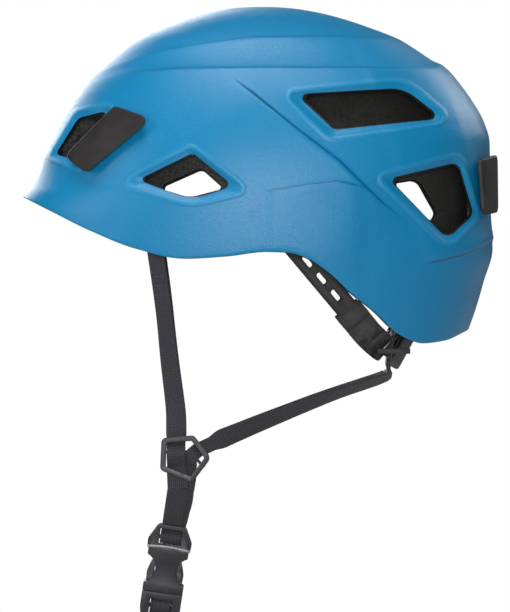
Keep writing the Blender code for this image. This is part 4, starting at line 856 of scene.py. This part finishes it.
clips = {
    "brow_clip": {"corners": [(79.5, -29.8, 4), (57, -37.8, 4), (95.6, -69.4, 4), (109, -59.4, 4)], "axis": 0,
                  "start": radians(45), "foot": (50.5, 3.2, -37.5)},
    "rear_clip": {"corners": [(24, -58, 4), (53, -61, 4), (50, -94, 5), (25, -92, 5)], "axis": 1,
                  "start": radians(157), "foot": (161.5, 4.5, -61.0)},
}
clipForm = {"room": 3.6, "thick": 2.4, "edge": 0.8, "footLong": 6.0, "gap": 0.3}
for kind, clip in clips.items():
    for sideName, side in sides:
        name = f"{kind}_{sideName}"
        points, faces = skinPlate(clip["corners"], clip["axis"], clip["start"], clipForm["room"],
                                  clipForm["thick"], clipForm["edge"])
        plate = addPiece(f"{name}_look", points * (1, side, 1), faces, "clipPlastic")
        middle, half, top = clip["foot"]
        points, faces = skinBlock((radians(middle - half), radians(middle + half)),
                                  (top - clipForm["footLong"], top),
                                  (-(clipForm["room"] + 0.8), -clipForm["gap"]))
        combine(plate, addPiece("foot", points * (1, side, 1), faces, "clipPlastic"), "UNION")
        give(plate, name, "clip_plastic", name)
print("clips: 4")


# webbing: flat bands with rolled edges and a weave that follows them

webForm = {"width": 12.0, "thick": 1.1, "clear": 0.4, "dividerThick": 2.6, "innerHalf": 0.6, "gap": 0.3,
           "frontPinch": 11.0, "rearPinch": 8.6, "steps": 6}


def curvePoints(knots, steps):
    padded = [2 * knots[0] - knots[1], *knots, 2 * knots[-1] - knots[-2]]
    points = []
    for i in range(1, len(padded) - 2):
        a, b, c, d = padded[i - 1:i + 3]
        for k in range(steps):
            t = k / steps
            points.append(0.5 * (2 * b + (c - a) * t + (2 * a - 5 * b + 4 * c - d) * t**2
                                 + (3 * b - a - 3 * c + d) * t**3))
    return [*points, knots[-1].copy()]


def bandFrames(path, across):
    frames = []
    count = len(path)
    for i, point in enumerate(path):
        along = (path[min(i + 1, count - 1)] - path[max(i - 1, 0)]).normalized()
        side = across(i / (count - 1))
        side = (side - along * side.dot(along)).normalized()
        frames.append((point, side, along.cross(side).normalized()))
    return frames


def webbingPiece(name, frames, width):
    half, edge = webForm["thick"] / 2, 0.32
    cross = [(-1, -0.45), (-0.97, -0.85), (-0.9, -1), (-0.45, -0.93), (0, -0.9), (0.45, -0.93), (0.9, -1),
             (0.97, -0.85), (1, -0.45)]
    cross = cross + [(u, -v) for u, v in reversed(cross)]
    points, faces, maps = [], [], []
    length = 0.0
    for i, (point, side, up) in enumerate(frames):
        if i:
            length += (point - frames[i - 1][0]).length
        reachOut = width(point) / 2
        for u, v in cross:
            points.append(point + side * (u * reachOut) + up * (v * half))
            maps.append(((u * reachOut + (0 if v < 0 else edge)) * mm, length * mm))
    size = len(cross)
    for i in range(len(frames) - 1):
        faces += [(size * i + k, size * i + (k + 1) % size, size * (i + 1) + (k + 1) % size, size * (i + 1) + k)
                  for k in range(size)]
    last = size * (len(frames) - 1)
    faces += [tuple(range(size - 1, -1, -1)), tuple(range(last, last + size))]
    piece = addPiece(name, points, faces, "webbing", 60)
    layer = piece.data.uv_layers.new(name="weaveMap")
    for loop in piece.data.loops:
        layer.data[loop.index].uv = maps[loop.vertex_index]
    return piece


def turning(start, end, low=0.0, high=1.0):
    return lambda share: start.lerp(end, min(1.0, max(0.0, (share - low) / (high - low))))


def pinchedWidth(top, bottom, narrow):
    def wide(point):
        edge = min(abs(point.z - top), abs(point.z - bottom)) / 2.5
        if bottom < point.z < top:
            return narrow
        return narrow + (webForm["width"] - narrow) * min(1, edge)
    return wide


def fullWidth(_):
    return webForm["width"]


def flipped(point, side):
    return Vector((point[0], point[1] * side, point[2]))


strapPlaces = {"frontAnchor": (55.5, 80, -109.6), "rearAnchor": (-84, 62, -151), "divider": (38, 66, -236),
               "dividerDrop": (0.9, 0, -2.5), "bend": (-82, 62, -186.6), "anchorHalf": 3.4,
               "frontTwist": radians(38), "buckleMouth": (51.3, 48.5, -314.5), "buckleDown": (0.145, -0.2, -0.969),
               "ladderTop": -40.0, "ladderHalf": 1.8, "plugHalf": 3.8}


def dividerCentre(side):
    centre = flipped(strapPlaces["divider"], side)
    return centre + Vector(strapPlaces["dividerDrop"]) if side < 0 else centre


def frontFrames(side):
    centre = dividerCentre(side)
    over = webForm["innerHalf"] + webForm["clear"] + webForm["thick"] / 2
    behind = webForm["dividerThick"] / 2 + webForm["clear"] + webForm["thick"] / 2

    def at(x, z, y):
        return centre + Vector((x, side * y, z))

    turn = strapPlaces["frontTwist"]
    hang = flipped(strapPlaces["frontAnchor"], side) + Vector((0, 0, -strapPlaces["anchorHalf"] - webForm["gap"]))
    low = at(5.6, 30, -1.2)
    knots = [hang, hang.lerp(low, 0.35) + Vector((-0.5, 0, 0)), hang.lerp(low, 0.7), low, at(5.1, 16, -behind),
             at(5.2, 11.4, -behind), at(5.2, 9.3, -behind), at(5.2, 7.2, -behind + 1.3),
             at(5.2, 4.9, over - 0.6), at(5.2, 2.8, over + 0.1), at(5.2, 0.6, over - 0.2),
             at(5.1, -2.4, -0.6), at(5.0, -4.9, -behind + 0.1), at(4.7, -7.4, -behind), at(4.2, -18.1, -behind)]
    path = curvePoints(knots, webForm["steps"])
    way = turning(Vector((cos(turn), -side * sin(turn), 0)), Vector((1, 0, 0)), 0.1, 0.3)
    return bandFrames(path, way), pinchedWidth(centre.z + 11, centre.z - 6, webForm["frontPinch"])


def rearFrames(side):
    centre = dividerCentre(side)
    over = webForm["innerHalf"] + webForm["clear"] + webForm["thick"] / 2
    behind = webForm["dividerThick"] / 2 + webForm["clear"] + webForm["thick"] / 2
    last = -behind - webForm["thick"] - webForm["gap"]

    def at(x, z, y):
        return centre + Vector((x, side * y, z))

    top, bend = flipped(strapPlaces["rearAnchor"], side), flipped(strapPlaces["bend"], side)
    aim = at(-22, 12, 0)
    knots = [top + Vector((0, 0, -strapPlaces["anchorHalf"] - webForm["gap"])),
             top.lerp(bend, 0.5) + Vector((-0.6, 0, 0)), bend + Vector((0.2, 0, 5.0)), bend,
             bend + Vector((5.5, 0, -3.6)), bend.lerp(aim, 0.35), bend.lerp(aim, 0.7), at(-25, 12.6, -1.4),
             at(-14.5, 7.6, -behind), at(-10.9, 5.9, -behind - 0.1), at(-8.2, 4.8, -behind - 0.3),
             at(-6.9, 3.9, -0.8), at(-6.0, 3.2, over - 0.2), at(-4.9, 2.3, over + 0.4),
             at(-3.6, 0.9, over + 0.3), at(-3.1, -1.6, -0.6), at(-2.9, -3.6, -behind - 0.8),
             at(-2.2, -6.0, last - 0.2), at(-1.0, -9.6, last - 0.1), at(0.4, -18.1, last - 0.1)]
    path = curvePoints(knots, webForm["steps"])
    slope, edgeOn = Vector((0.63, 0, 0.776)), Vector((0.12, side * 0.88, 0.46))

    def way(share):
        if share < 0.25:
            return Vector((0, side, 0)).lerp(edgeOn, share / 0.25)
        if share < 0.44:
            return edgeOn.lerp(slope, (share - 0.25) / 0.19)
        if share < 0.74:
            return slope
        return slope.lerp(Vector((1, 0, 0.12)), min(1, (share - 0.74) / 0.14))

    return bandFrames(path, way), pinchedWidth(centre.z + 8.4, centre.z - 6, webForm["rearPinch"])


buckleDown = Vector(strapPlaces["buckleDown"]).normalized()
buckleOut = (Vector((0, 1, 0)) - buckleDown * buckleDown.y).normalized()
buckleFrame = (Matrix.Translation(strapPlaces["buckleMouth"])
               @ Matrix((buckleOut.cross(buckleDown), buckleOut, buckleDown)).transposed().to_4x4())


def held(x, y, z):
    return buckleFrame @ Vector((x, y, z))


# a raised rib across the buckle, where the ladder bar meets the face, coloured light grey as a painted highlight
buckleRib = {"z": -26.6, "half": 12.4, "bow": 0.9, "radius": 0.75, "out": 3.9}
shares = [k / 12 * 2 - 1 for k in range(13)]
ribPath = [held(buckleRib["half"] * u, buckleRib["out"], buckleRib["z"] - buckleRib["bow"] * (1 - u * u))
           for u in shares]
ribPath = [ribPath[0].lerp(ribPath[1], -0.2), *ribPath, ribPath[-1].lerp(ribPath[-2], -0.2)]
give(addPiece("buckle_rib", *rodParts(ribPath, buckleRib["radius"]), "polishedGrey"), "helmet", "moulded_nylon")


def blendOver(piece, node):
    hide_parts(node)
    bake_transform(piece)


stitchRows = {}


def stitchAcross(body, frames, index, inset, lift):
    point, side, up = frames[index]
    reachOut = webForm["width"] / 2 - inset
    stitchRows.setdefault(body, []).append([point - side * reachOut + up * lift, point + side * reachOut + up * lift])


for sideName, side in sides:
    surface = webForm["thick"] / 2 + 0.05
    for kind, build in (("front", frontFrames), ("rear", rearFrames)):
        frames, width = build(side)
        strap = webbingPiece(f"{kind}_strap_{sideName}_look", frames, width)
        blendOver(strap,
                  f"{kind}_strap_{sideName}")
        for index in (2, 3, 4, 5):   # the sewn loop just under the anchor
            for lift in (-surface, surface):
                stitchAcross("helmet", frames, index, 1.6, lift)

forward = Vector((1, 0, 0.1))
behind = webForm["dividerThick"] / 2 + webForm["clear"] + webForm["thick"] / 2
layer = webForm["thick"] + webForm["gap"]
ladderTop, steps = strapPlaces["ladderTop"], webForm["steps"]
back = strapPlaces["ladderHalf"] + webForm["clear"] + webForm["thick"] / 2
start = Vector(strapPlaces["divider"]) + Vector((4.2, -behind, -17.8))
knots = [start, start.lerp(held(0, -back, ladderTop), 0.5) + Vector((0, -0.8, 0)), held(0, -back, ladderTop - 3),
         held(0, -back, ladderTop + 1.4), held(0, -back + 0.2, ladderTop + 2.8), held(0, -0.5, ladderTop + 4.6),
         held(0, 1.9, ladderTop + 6.3), held(0, 2.2, ladderTop + 7.6), held(0, 1.7, ladderTop + 9.2),
         held(0, 0.2, ladderTop + 10.8)]
outerLower = bandFrames(curvePoints(knots, steps), turning(forward, forward))
start = Vector(strapPlaces["divider"]) + Vector((0.4, -behind - layer, -17.8))
middle = start.lerp(held(2.5, -back - layer, ladderTop), 0.5) + Vector((0, -0.8, 0))
end = held(0.6, -back - layer, ladderTop + 9)
innerLower = bandFrames(curvePoints([start, middle, held(2.5, -back - layer, ladderTop - 3), end], 2 * steps),
                        turning(forward, forward))
for frames, name in ((outerLower, "lower_strap_outer"), (innerLower, "lower_strap_inner")):
    strap = webbingPiece(f"{name}_look", frames, fullWidth)
    blendOver(strap, name)

# the chin strap is made as two pieces that meet under the chin: the end at the plug and the rest
back = strapPlaces["plugHalf"] + webForm["clear"] + webForm["thick"] / 2
right = dividerCentre(-1)
knots = [held(0, 0.2, 5.4), held(0, 1.4, 6.8), held(0, 1.9, 9.2), held(0, 1.0, 11.4), held(0, -2.2, 13.2),
         held(0, -back, 15.4), held(0, -back, 18), held(0, -back - 0.6, 24), Vector((54.5, 24.0, -350.0)),
         Vector((53.5, -6.0, -354.5)), Vector((51.5, -32.0, -337.0)), Vector((47.5, -51.0, -300.0)),
         right + Vector((4.8, 2.0, -32.0)), right + Vector((4.2, behind, -17.8))]
chinFrames = bandFrames(curvePoints(knots, steps), turning(forward, forward))
split = 9 * steps
plugStrap = webbingPiece("chin_strap_plug_end", chinFrames[:split + 1], fullWidth)
blendOver(plugStrap, "chin_strap")
chinStrap = webbingPiece("chin_strap_look", chinFrames[split:], fullWidth)
blendOver(chinStrap, "chin_strap")
start = right + Vector((0.4, behind + layer, -17.8))
end = right + Vector((3.2, 2.6 + layer, -32.0))
joined = bandFrames(curvePoints([start, start + Vector((1.0, 0.3, -8)), end], 2 * steps), turning(forward, forward))
give(webbingPiece("joined_strap_look", joined, fullWidth), "divider_right", "webbing", "joined_strap_right")
surface = webForm["thick"] / 2 + 0.05
for index in range(3, 9, 2):
    stitchAcross("divider_right", joined, index, 1.5, surface)
for index in range(2, 8, 2):
    stitchAcross("plug", chinFrames, index, 1.2, surface)
print("webbing: 9 bands")


# stitches: short thread capsules set along rows by pitch
stitchForm = {"pitch": 0.0011, "long": 0.0009, "thick": 0.00042, "segments": 6}


def stitchTree():
    tree = bpy.data.node_groups.new("stitchRows", "GeometryNodeTree")
    face = tree.interface
    face.new_socket("Geometry", in_out="INPUT", socket_type="NodeSocketGeometry")
    for label in ("Pitch", "Long", "Thick"):
        face.new_socket(label, in_out="INPUT", socket_type="NodeSocketFloat")
    face.new_socket("Thread", in_out="INPUT", socket_type="NodeSocketMaterial")
    face.new_socket("Geometry", in_out="OUTPUT", socket_type="NodeSocketGeometry")
    given = tree.nodes.new("NodeGroupInput").outputs
    points = addNode(tree, "GeometryNodeResampleCurve", {"Curve": given["Geometry"]})
    points.mode = "LENGTH"
    put(tree, points.inputs["Length"], given["Pitch"])
    bead = addNode(tree, "GeometryNodeMeshUVSphere", {"Segments": stitchForm["segments"], "Rings": 4,
                                                      "Radius": 0.5})
    size = addNode(tree, "ShaderNodeCombineXYZ", {0: given["Thick"], 1: given["Thick"], 2: given["Long"]})
    capsule = addNode(tree, "GeometryNodeTransform", {"Geometry": bead.outputs["Mesh"], "Scale": size.outputs[0]})
    turn = addNode(tree, "FunctionNodeAlignRotationToVector",
                   {"Vector": tree.nodes.new("GeometryNodeInputTangent").outputs[0]}, axis="Z")
    copies = addNode(tree, "GeometryNodeInstanceOnPoints", {"Points": points.outputs[0],
                                                            "Instance": capsule.outputs[0],
                                                            "Rotation": turn.outputs[0]})
    real = addNode(tree, "GeometryNodeRealizeInstances", {0: copies.outputs[0]})
    dressed = addNode(tree, "GeometryNodeSetMaterial", {"Geometry": real.outputs[0], "Material": given["Thread"]})
    put(tree, tree.nodes.new("NodeGroupOutput").inputs[0], dressed.outputs[0])
    return tree


def grownPiece(name, base, tree, values):
    step = base.modifiers.new("grow", "NODES")
    step.node_group = tree
    for item in tree.interface.items_tree:
        if item.in_out == "INPUT" and item.name in values:
            step[item.identifier] = values[item.name]
    graph = bpy.context.evaluated_depsgraph_get()
    graph.update()
    mesh = bpy.data.meshes.new_from_object(base.evaluated_get(graph))
    bpy.data.objects.remove(base)
    mesh.name = name
    piece = bpy.data.objects.new(name, mesh)
    bpy.context.scene.collection.objects.link(piece)
    mesh.shade_smooth()
    return piece


def rowCurve(rows):
    curve = bpy.data.curves.new("rows", "CURVE")
    curve.dimensions = "3D"
    for row in rows:
        spline = curve.splines.new("POLY")
        spline.points.add(len(row) - 1)
        for point, at in zip(spline.points, row):
            point.co = (*(at * mm), 1)
    base = bpy.data.objects.new("rows", curve)
    bpy.context.scene.collection.objects.link(base)
    return base


threads = stitchTree()
for body, rows in stitchRows.items():
    values = {"Pitch": stitchForm["pitch"], "Long": stitchForm["long"], "Thick": stitchForm["thick"],
              "Thread": looks["tealThread" if body == "plug" else "darkThread"]}
    give(grownPiece(f"stitches_{body}", rowCurve(rows), threads, values), body, "webbing")


# the dial: a knob whose radius follows a wave round its rim
dialForm = {"centre": (-87.0, 0.0, -165.0), "tilt": radians(28), "radius": 0.018, "high": 0.007, "ridges": 18,
            "wave": 0.045, "bottom": 0.00295, "sinkRadius": 4.2, "sinkDeep": 2.2, "shaftRadius": 2.9}


def dialTree():
    tree = bpy.data.node_groups.new("wavyKnob", "GeometryNodeTree")
    face = tree.interface
    for label, kind in (("Geometry", "Geometry"), ("Radius", "Float"), ("High", "Float"), ("Ridges", "Int"),
                        ("Wave", "Float"), ("Plastic", "Material")):
        face.new_socket(label, in_out="INPUT", socket_type="NodeSocket" + kind)
    face.new_socket("Geometry", in_out="OUTPUT", socket_type="NodeSocketGeometry")
    given = tree.nodes.new("NodeGroupInput").outputs
    knob = addNode(tree, "GeometryNodeMeshCylinder",
                   {"Vertices": calc(tree, "MULTIPLY", given["Ridges"], 12.0), "Side Segments": 14,
                    "Fill Segments": 10, "Radius": given["Radius"], "Depth": given["High"]})
    place = tree.nodes.new("GeometryNodeInputPosition").outputs[0]
    split = addNode(tree, "ShaderNodeSeparateXYZ", {0: place})
    angle = calc(tree, "ARCTAN2", split.outputs[1], split.outputs[0])
    wave = calc(tree, "MULTIPLY", calc(tree, "COSINE", calc(tree, "MULTIPLY", angle, given["Ridges"])), 0.5)
    flat = addNode(tree, "ShaderNodeCombineXYZ", {0: split.outputs[0], 1: split.outputs[1]}).outputs[0]
    out = addNode(tree, "ShaderNodeVectorMath", {0: flat}, operation="LENGTH").outputs["Value"]
    share = calc(tree, "DIVIDE", out, given["Radius"])
    rim = calc(tree, "POWER", share, 6.0)
    rise = calc(tree, "ABSOLUTE", calc(tree, "DIVIDE", split.outputs[2], calc(tree, "MULTIPLY", given["High"], 0.5)))
    tuck = calc(tree, "MULTIPLY", calc(tree, "POWER", rise, 6.0), 0.07)
    shrink = calc(tree, "ADD", calc(tree, "MULTIPLY", calc(tree, "SUBTRACT", 0.5, wave), given["Wave"]), tuck)
    scale = calc(tree, "SUBTRACT", 1.0, calc(tree, "MULTIPLY", shrink, rim))
    moved = addNode(tree, "ShaderNodeCombineXYZ", {0: calc(tree, "MULTIPLY", split.outputs[0], scale),
                                                   1: calc(tree, "MULTIPLY", split.outputs[1], scale),
                                                   2: split.outputs[2]})
    shaped = addNode(tree, "GeometryNodeSetPosition", {"Geometry": knob.outputs["Mesh"],
                                                       "Position": moved.outputs[0]})
    real = addNode(tree, "GeometryNodeRealizeInstances", {0: shaped.outputs[0]})
    dressed = addNode(tree, "GeometryNodeSetMaterial", {"Geometry": real.outputs[0], "Material": given["Plastic"]})
    put(tree, tree.nodes.new("NodeGroupOutput").inputs[0], dressed.outputs[0])
    return tree


def emptyMesh(name):
    base = bpy.data.objects.new(name, bpy.data.meshes.new(name))
    bpy.context.scene.collection.objects.link(base)
    return base


tilt = dialForm["tilt"]
dialAxis, dialUp = Vector((-cos(tilt), 0, -sin(tilt))), Vector((-sin(tilt), 0, cos(tilt)))
dialFrame = (Matrix.Translation(Vector(dialForm["centre"]) * mm)
             @ Matrix((Vector((0, -1, 0)), dialUp, dialAxis)).transposed().to_4x4())
dial = grownPiece("dial_look", emptyMesh("knob"), dialTree(),
                  {"Radius": dialForm["radius"], "High": dialForm["high"], "Ridges": dialForm["ridges"],
                   "Wave": dialForm["wave"], "Plastic": looks["dialGrey"]})
half = dialForm["high"] / 2
dial.data.transform(Matrix.Translation((0, 0, dialForm["bottom"] + half)))
low, high = dialForm["bottom"] / mm, (dialForm["bottom"] + dialForm["high"]) / mm
circle = [(cos(2 * pi * k / 32), sin(2 * pi * k / 32)) for k in range(32)]
for radius, bottom, top in ((dialForm["sinkRadius"], high - dialForm["sinkDeep"], high + 3),
                            (dialForm["shaftRadius"], low - 3, low + 2.8), (1.65, low, high)):
    points, faces = prismParts([(x * radius, y * radius) for x, y in circle], bottom, top, "Z")
    combine(dial, addPiece("sink", points, faces, "dialGrey"))
dial.data.transform(dialFrame)
faceOut(dial, 40)
give(dial, "dial", "cradle_nylon", "dial")
print("dial:", len(dial.data.polygons), "faces")


# pads: cloth covers inflated over the foam, then dotted with near-black discs as painted shade of perforation holes
padForm = {"voxel": 0.0022, "pressure": 4.0, "frames": 20, "cap": 0.0009, "shrink": 0.0004}


def swell(piece):
    scene = bpy.context.scene
    remesh = piece.modifiers.new("even", "REMESH")
    remesh.mode, remesh.voxel_size = "VOXEL", padForm["voxel"]
    settle(piece)
    rest = np.array([v.co for v in piece.data.vertices])
    cloth = piece.modifiers.new("cloth", "CLOTH")
    cloth.settings.use_pressure = True
    cloth.settings.uniform_pressure_force = padForm["pressure"]
    cloth.settings.effector_weights.gravity = 0
    cloth.settings.quality = 5
    for step in range(1, padForm["frames"] + 1):
        scene.frame_set(step)
    settle(piece)
    scene.frame_set(1)
    now = np.array([v.co for v in piece.data.vertices])
    move = now - rest
    size = np.linalg.norm(move, axis=1, keepdims=True)
    now = rest + move * np.minimum(1, padForm["cap"] / np.maximum(size, 1e-9))
    piece.data.vertices.foreach_set("co", now.ravel())
    smoother = piece.modifiers.new("finer", "SUBSURF")
    smoother.levels = smoother.render_levels = 1
    settle(piece)
    piece.data.shade_smooth()
    return piece


def perforationTree():
    tree = bpy.data.node_groups.new("perforations", "GeometryNodeTree")
    face = tree.interface
    for label, kind in (("Geometry", "Geometry"), ("Radius", "Float"), ("Spacing", "Float"), ("HoleShade", "Material")):
        face.new_socket(label, in_out="INPUT", socket_type="NodeSocket" + kind)
    face.new_socket("Geometry", in_out="OUTPUT", socket_type="NodeSocketGeometry")
    given = tree.nodes.new("NodeGroupInput").outputs
    spread = addNode(tree, "GeometryNodeDistributePointsOnFaces", {"Mesh": given["Geometry"], "Seed": 7,
                                                                   "Distance Min": given["Spacing"],
                                                                   "Density Max": 90000.0},
                     distribute_method="POISSON")
    dot = addNode(tree, "GeometryNodeMeshCylinder", {"Vertices": 8, "Radius": given["Radius"], "Depth": 0.00016})
    copies = addNode(tree, "GeometryNodeInstanceOnPoints", {"Points": spread.outputs["Points"],
                                                            "Instance": dot.outputs["Mesh"],
                                                            "Rotation": spread.outputs["Rotation"]})
    real = addNode(tree, "GeometryNodeRealizeInstances", {0: copies.outputs[0]})
    dressed = addNode(tree, "GeometryNodeSetMaterial", {"Geometry": real.outputs[0], "Material": given["HoleShade"]})
    put(tree, tree.nodes.new("NodeGroupOutput").inputs[0], dressed.outputs[0])
    return tree


# near-black discs stand in for the shaded inside of the perforations: painted shade
holeShadeLook = newMaterial("perforationShade", 0.95)[0]
holeShadeLook.node_tree.nodes["Principled BSDF"].inputs["Base Color"].default_value = rgb(0.004, 0.004, 0.004)
looks["perforationShade"] = holeShadeLook
holes = perforationTree()
for node in ("brow_pad", "temple_pad_left", "temple_pad_right", "crown_pad"):
    source = bmesh.new()
    source.from_mesh(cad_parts[node].data)
    bmesh.ops.remove_doubles(source, verts=source.verts, dist=0.00002)
    mesh = bpy.data.meshes.new(f"{node}_look")
    source.to_mesh(mesh)
    source.free()
    pad = bpy.data.objects.new(f"{node}_look", mesh)
    bpy.context.scene.collection.objects.link(pad)
    mesh.materials.clear()
    mesh.materials.append(looks["padMesh"])
    swell(pad)
    copy = bpy.data.objects.new("padCopy", pad.data.copy())
    bpy.context.scene.collection.objects.link(copy)
    give(grownPiece(f"{node}_perforations", copy, holes, {"Radius": 0.0007, "Spacing": 0.0042,
                                                         "HoleShade": looks["perforationShade"]}), "helmet", "pad_fabric")
    give(pad, "helmet", "pad_fabric", node)
print("pads: 4")


# plain pale stage: camera rays see even white, and light from below is held back

def stageMaterial(name, lit):
    material = bpy.data.materials.new(name)
    material.use_nodes = True
    tree = material.node_tree
    tree.nodes.remove(tree.nodes["Principled BSDF"])
    seen = addNode(tree, "ShaderNodeLightPath").outputs["Is Camera Ray"]
    white = addNode(tree, "ShaderNodeEmission", {"Color": rgb(1, 1, 1), "Strength": 1.0})
    dull = addNode(tree, "ShaderNodeBsdfDiffuse", {"Color": rgb(lit, lit, lit)})
    mix = addNode(tree, "ShaderNodeMixShader", {0: seen, 1: dull.outputs[0], 2: white.outputs[0]})
    put(tree, tree.nodes["Material Output"].inputs["Surface"], mix.outputs[0])
    return material


stage = {"floorZ": -0.42, "floorSize": 60.0, "worldLight": 0.08, "floorGrey": 0.5}
floorMesh = bpy.data.meshes.new("floor")
reachOut = stage["floorSize"]
floorMesh.from_pydata([(-reachOut, -reachOut, stage["floorZ"]), (reachOut, -reachOut, stage["floorZ"]),
                       (reachOut, reachOut, stage["floorZ"]), (-reachOut, reachOut, stage["floorZ"])], [],
                      [(0, 1, 2, 3)])
floor = bpy.data.objects.new("floor", floorMesh)
bpy.context.scene.collection.objects.link(floor)
floorMesh.materials.append(stageMaterial("paleFloor", stage["floorGrey"]))

world = bpy.data.worlds.new("studio")
bpy.context.scene.world = world
world.use_nodes = True
tree = world.node_tree
seen = addNode(tree, "ShaderNodeLightPath").outputs["Is Camera Ray"]
strength = addNode(tree, "ShaderNodeMix", {0: seen, 2: stage["worldLight"], 3: 1.0})
put(tree, tree.nodes["Background"].inputs["Color"], rgb(1, 1, 1))
put(tree, tree.nodes["Background"].inputs["Strength"], strength.outputs[0])

lights = {
    "key": {"at": (0.2, 3.3, 0.1), "aim": (0.0, 0.0, -0.1), "size": (1.3, 1.0), "power": 80},
    "overhead": {"at": (0.25, 0.6, 2.2), "aim": (0.0, 0.0, 0.0), "size": (1.4, 1.0), "power": 48},
    "brow": {"at": (2.4, 0.9, 0.5), "aim": (0.0, 0.0, -0.05), "size": (0.8, 1.2), "power": 16},
    "back": {"at": (-1.8, -1.9, 1.2), "aim": (0.0, 0.0, -0.05), "size": (1.2, 1.2), "power": 22},
    "far": {"at": (0.8, -2.6, 0.6), "aim": (0.0, 0.0, -0.1), "size": (1.4, 1.2), "power": 34},
}
for name, light in lights.items():
    lamp = bpy.data.lights.new(name, "AREA")
    lamp.shape = "RECTANGLE"
    lamp.size, lamp.size_y = light["size"]
    lamp.energy = light["power"]
    holder = bpy.data.objects.new(name, lamp)
    holder.location = light["at"]
    holder.rotation_euler = (Vector(light["aim"]) - Vector(light["at"])).to_track_quat("-Z", "Y").to_euler()
    bpy.context.scene.collection.objects.link(holder)

view = {"from": (-0.003, 6.0, -0.1214), "aim": (-0.003, 0.0, -0.1474), "lens": 596.2}
camera = bpy.data.objects.new("camera", bpy.data.cameras.new("camera"))
camera.data.lens, camera.data.sensor_width = view["lens"], 36.0
camera.data.clip_end = 200.0
camera.location = view["from"]
camera.rotation_euler = (Vector(view["aim"]) - Vector(view["from"])).to_track_quat("-Z", "Y").to_euler()
bpy.context.scene.collection.objects.link(camera)
bpy.context.scene.camera = camera
bpy.context.scene.view_settings.view_transform = "Standard"
print("stage, lights and camera set")
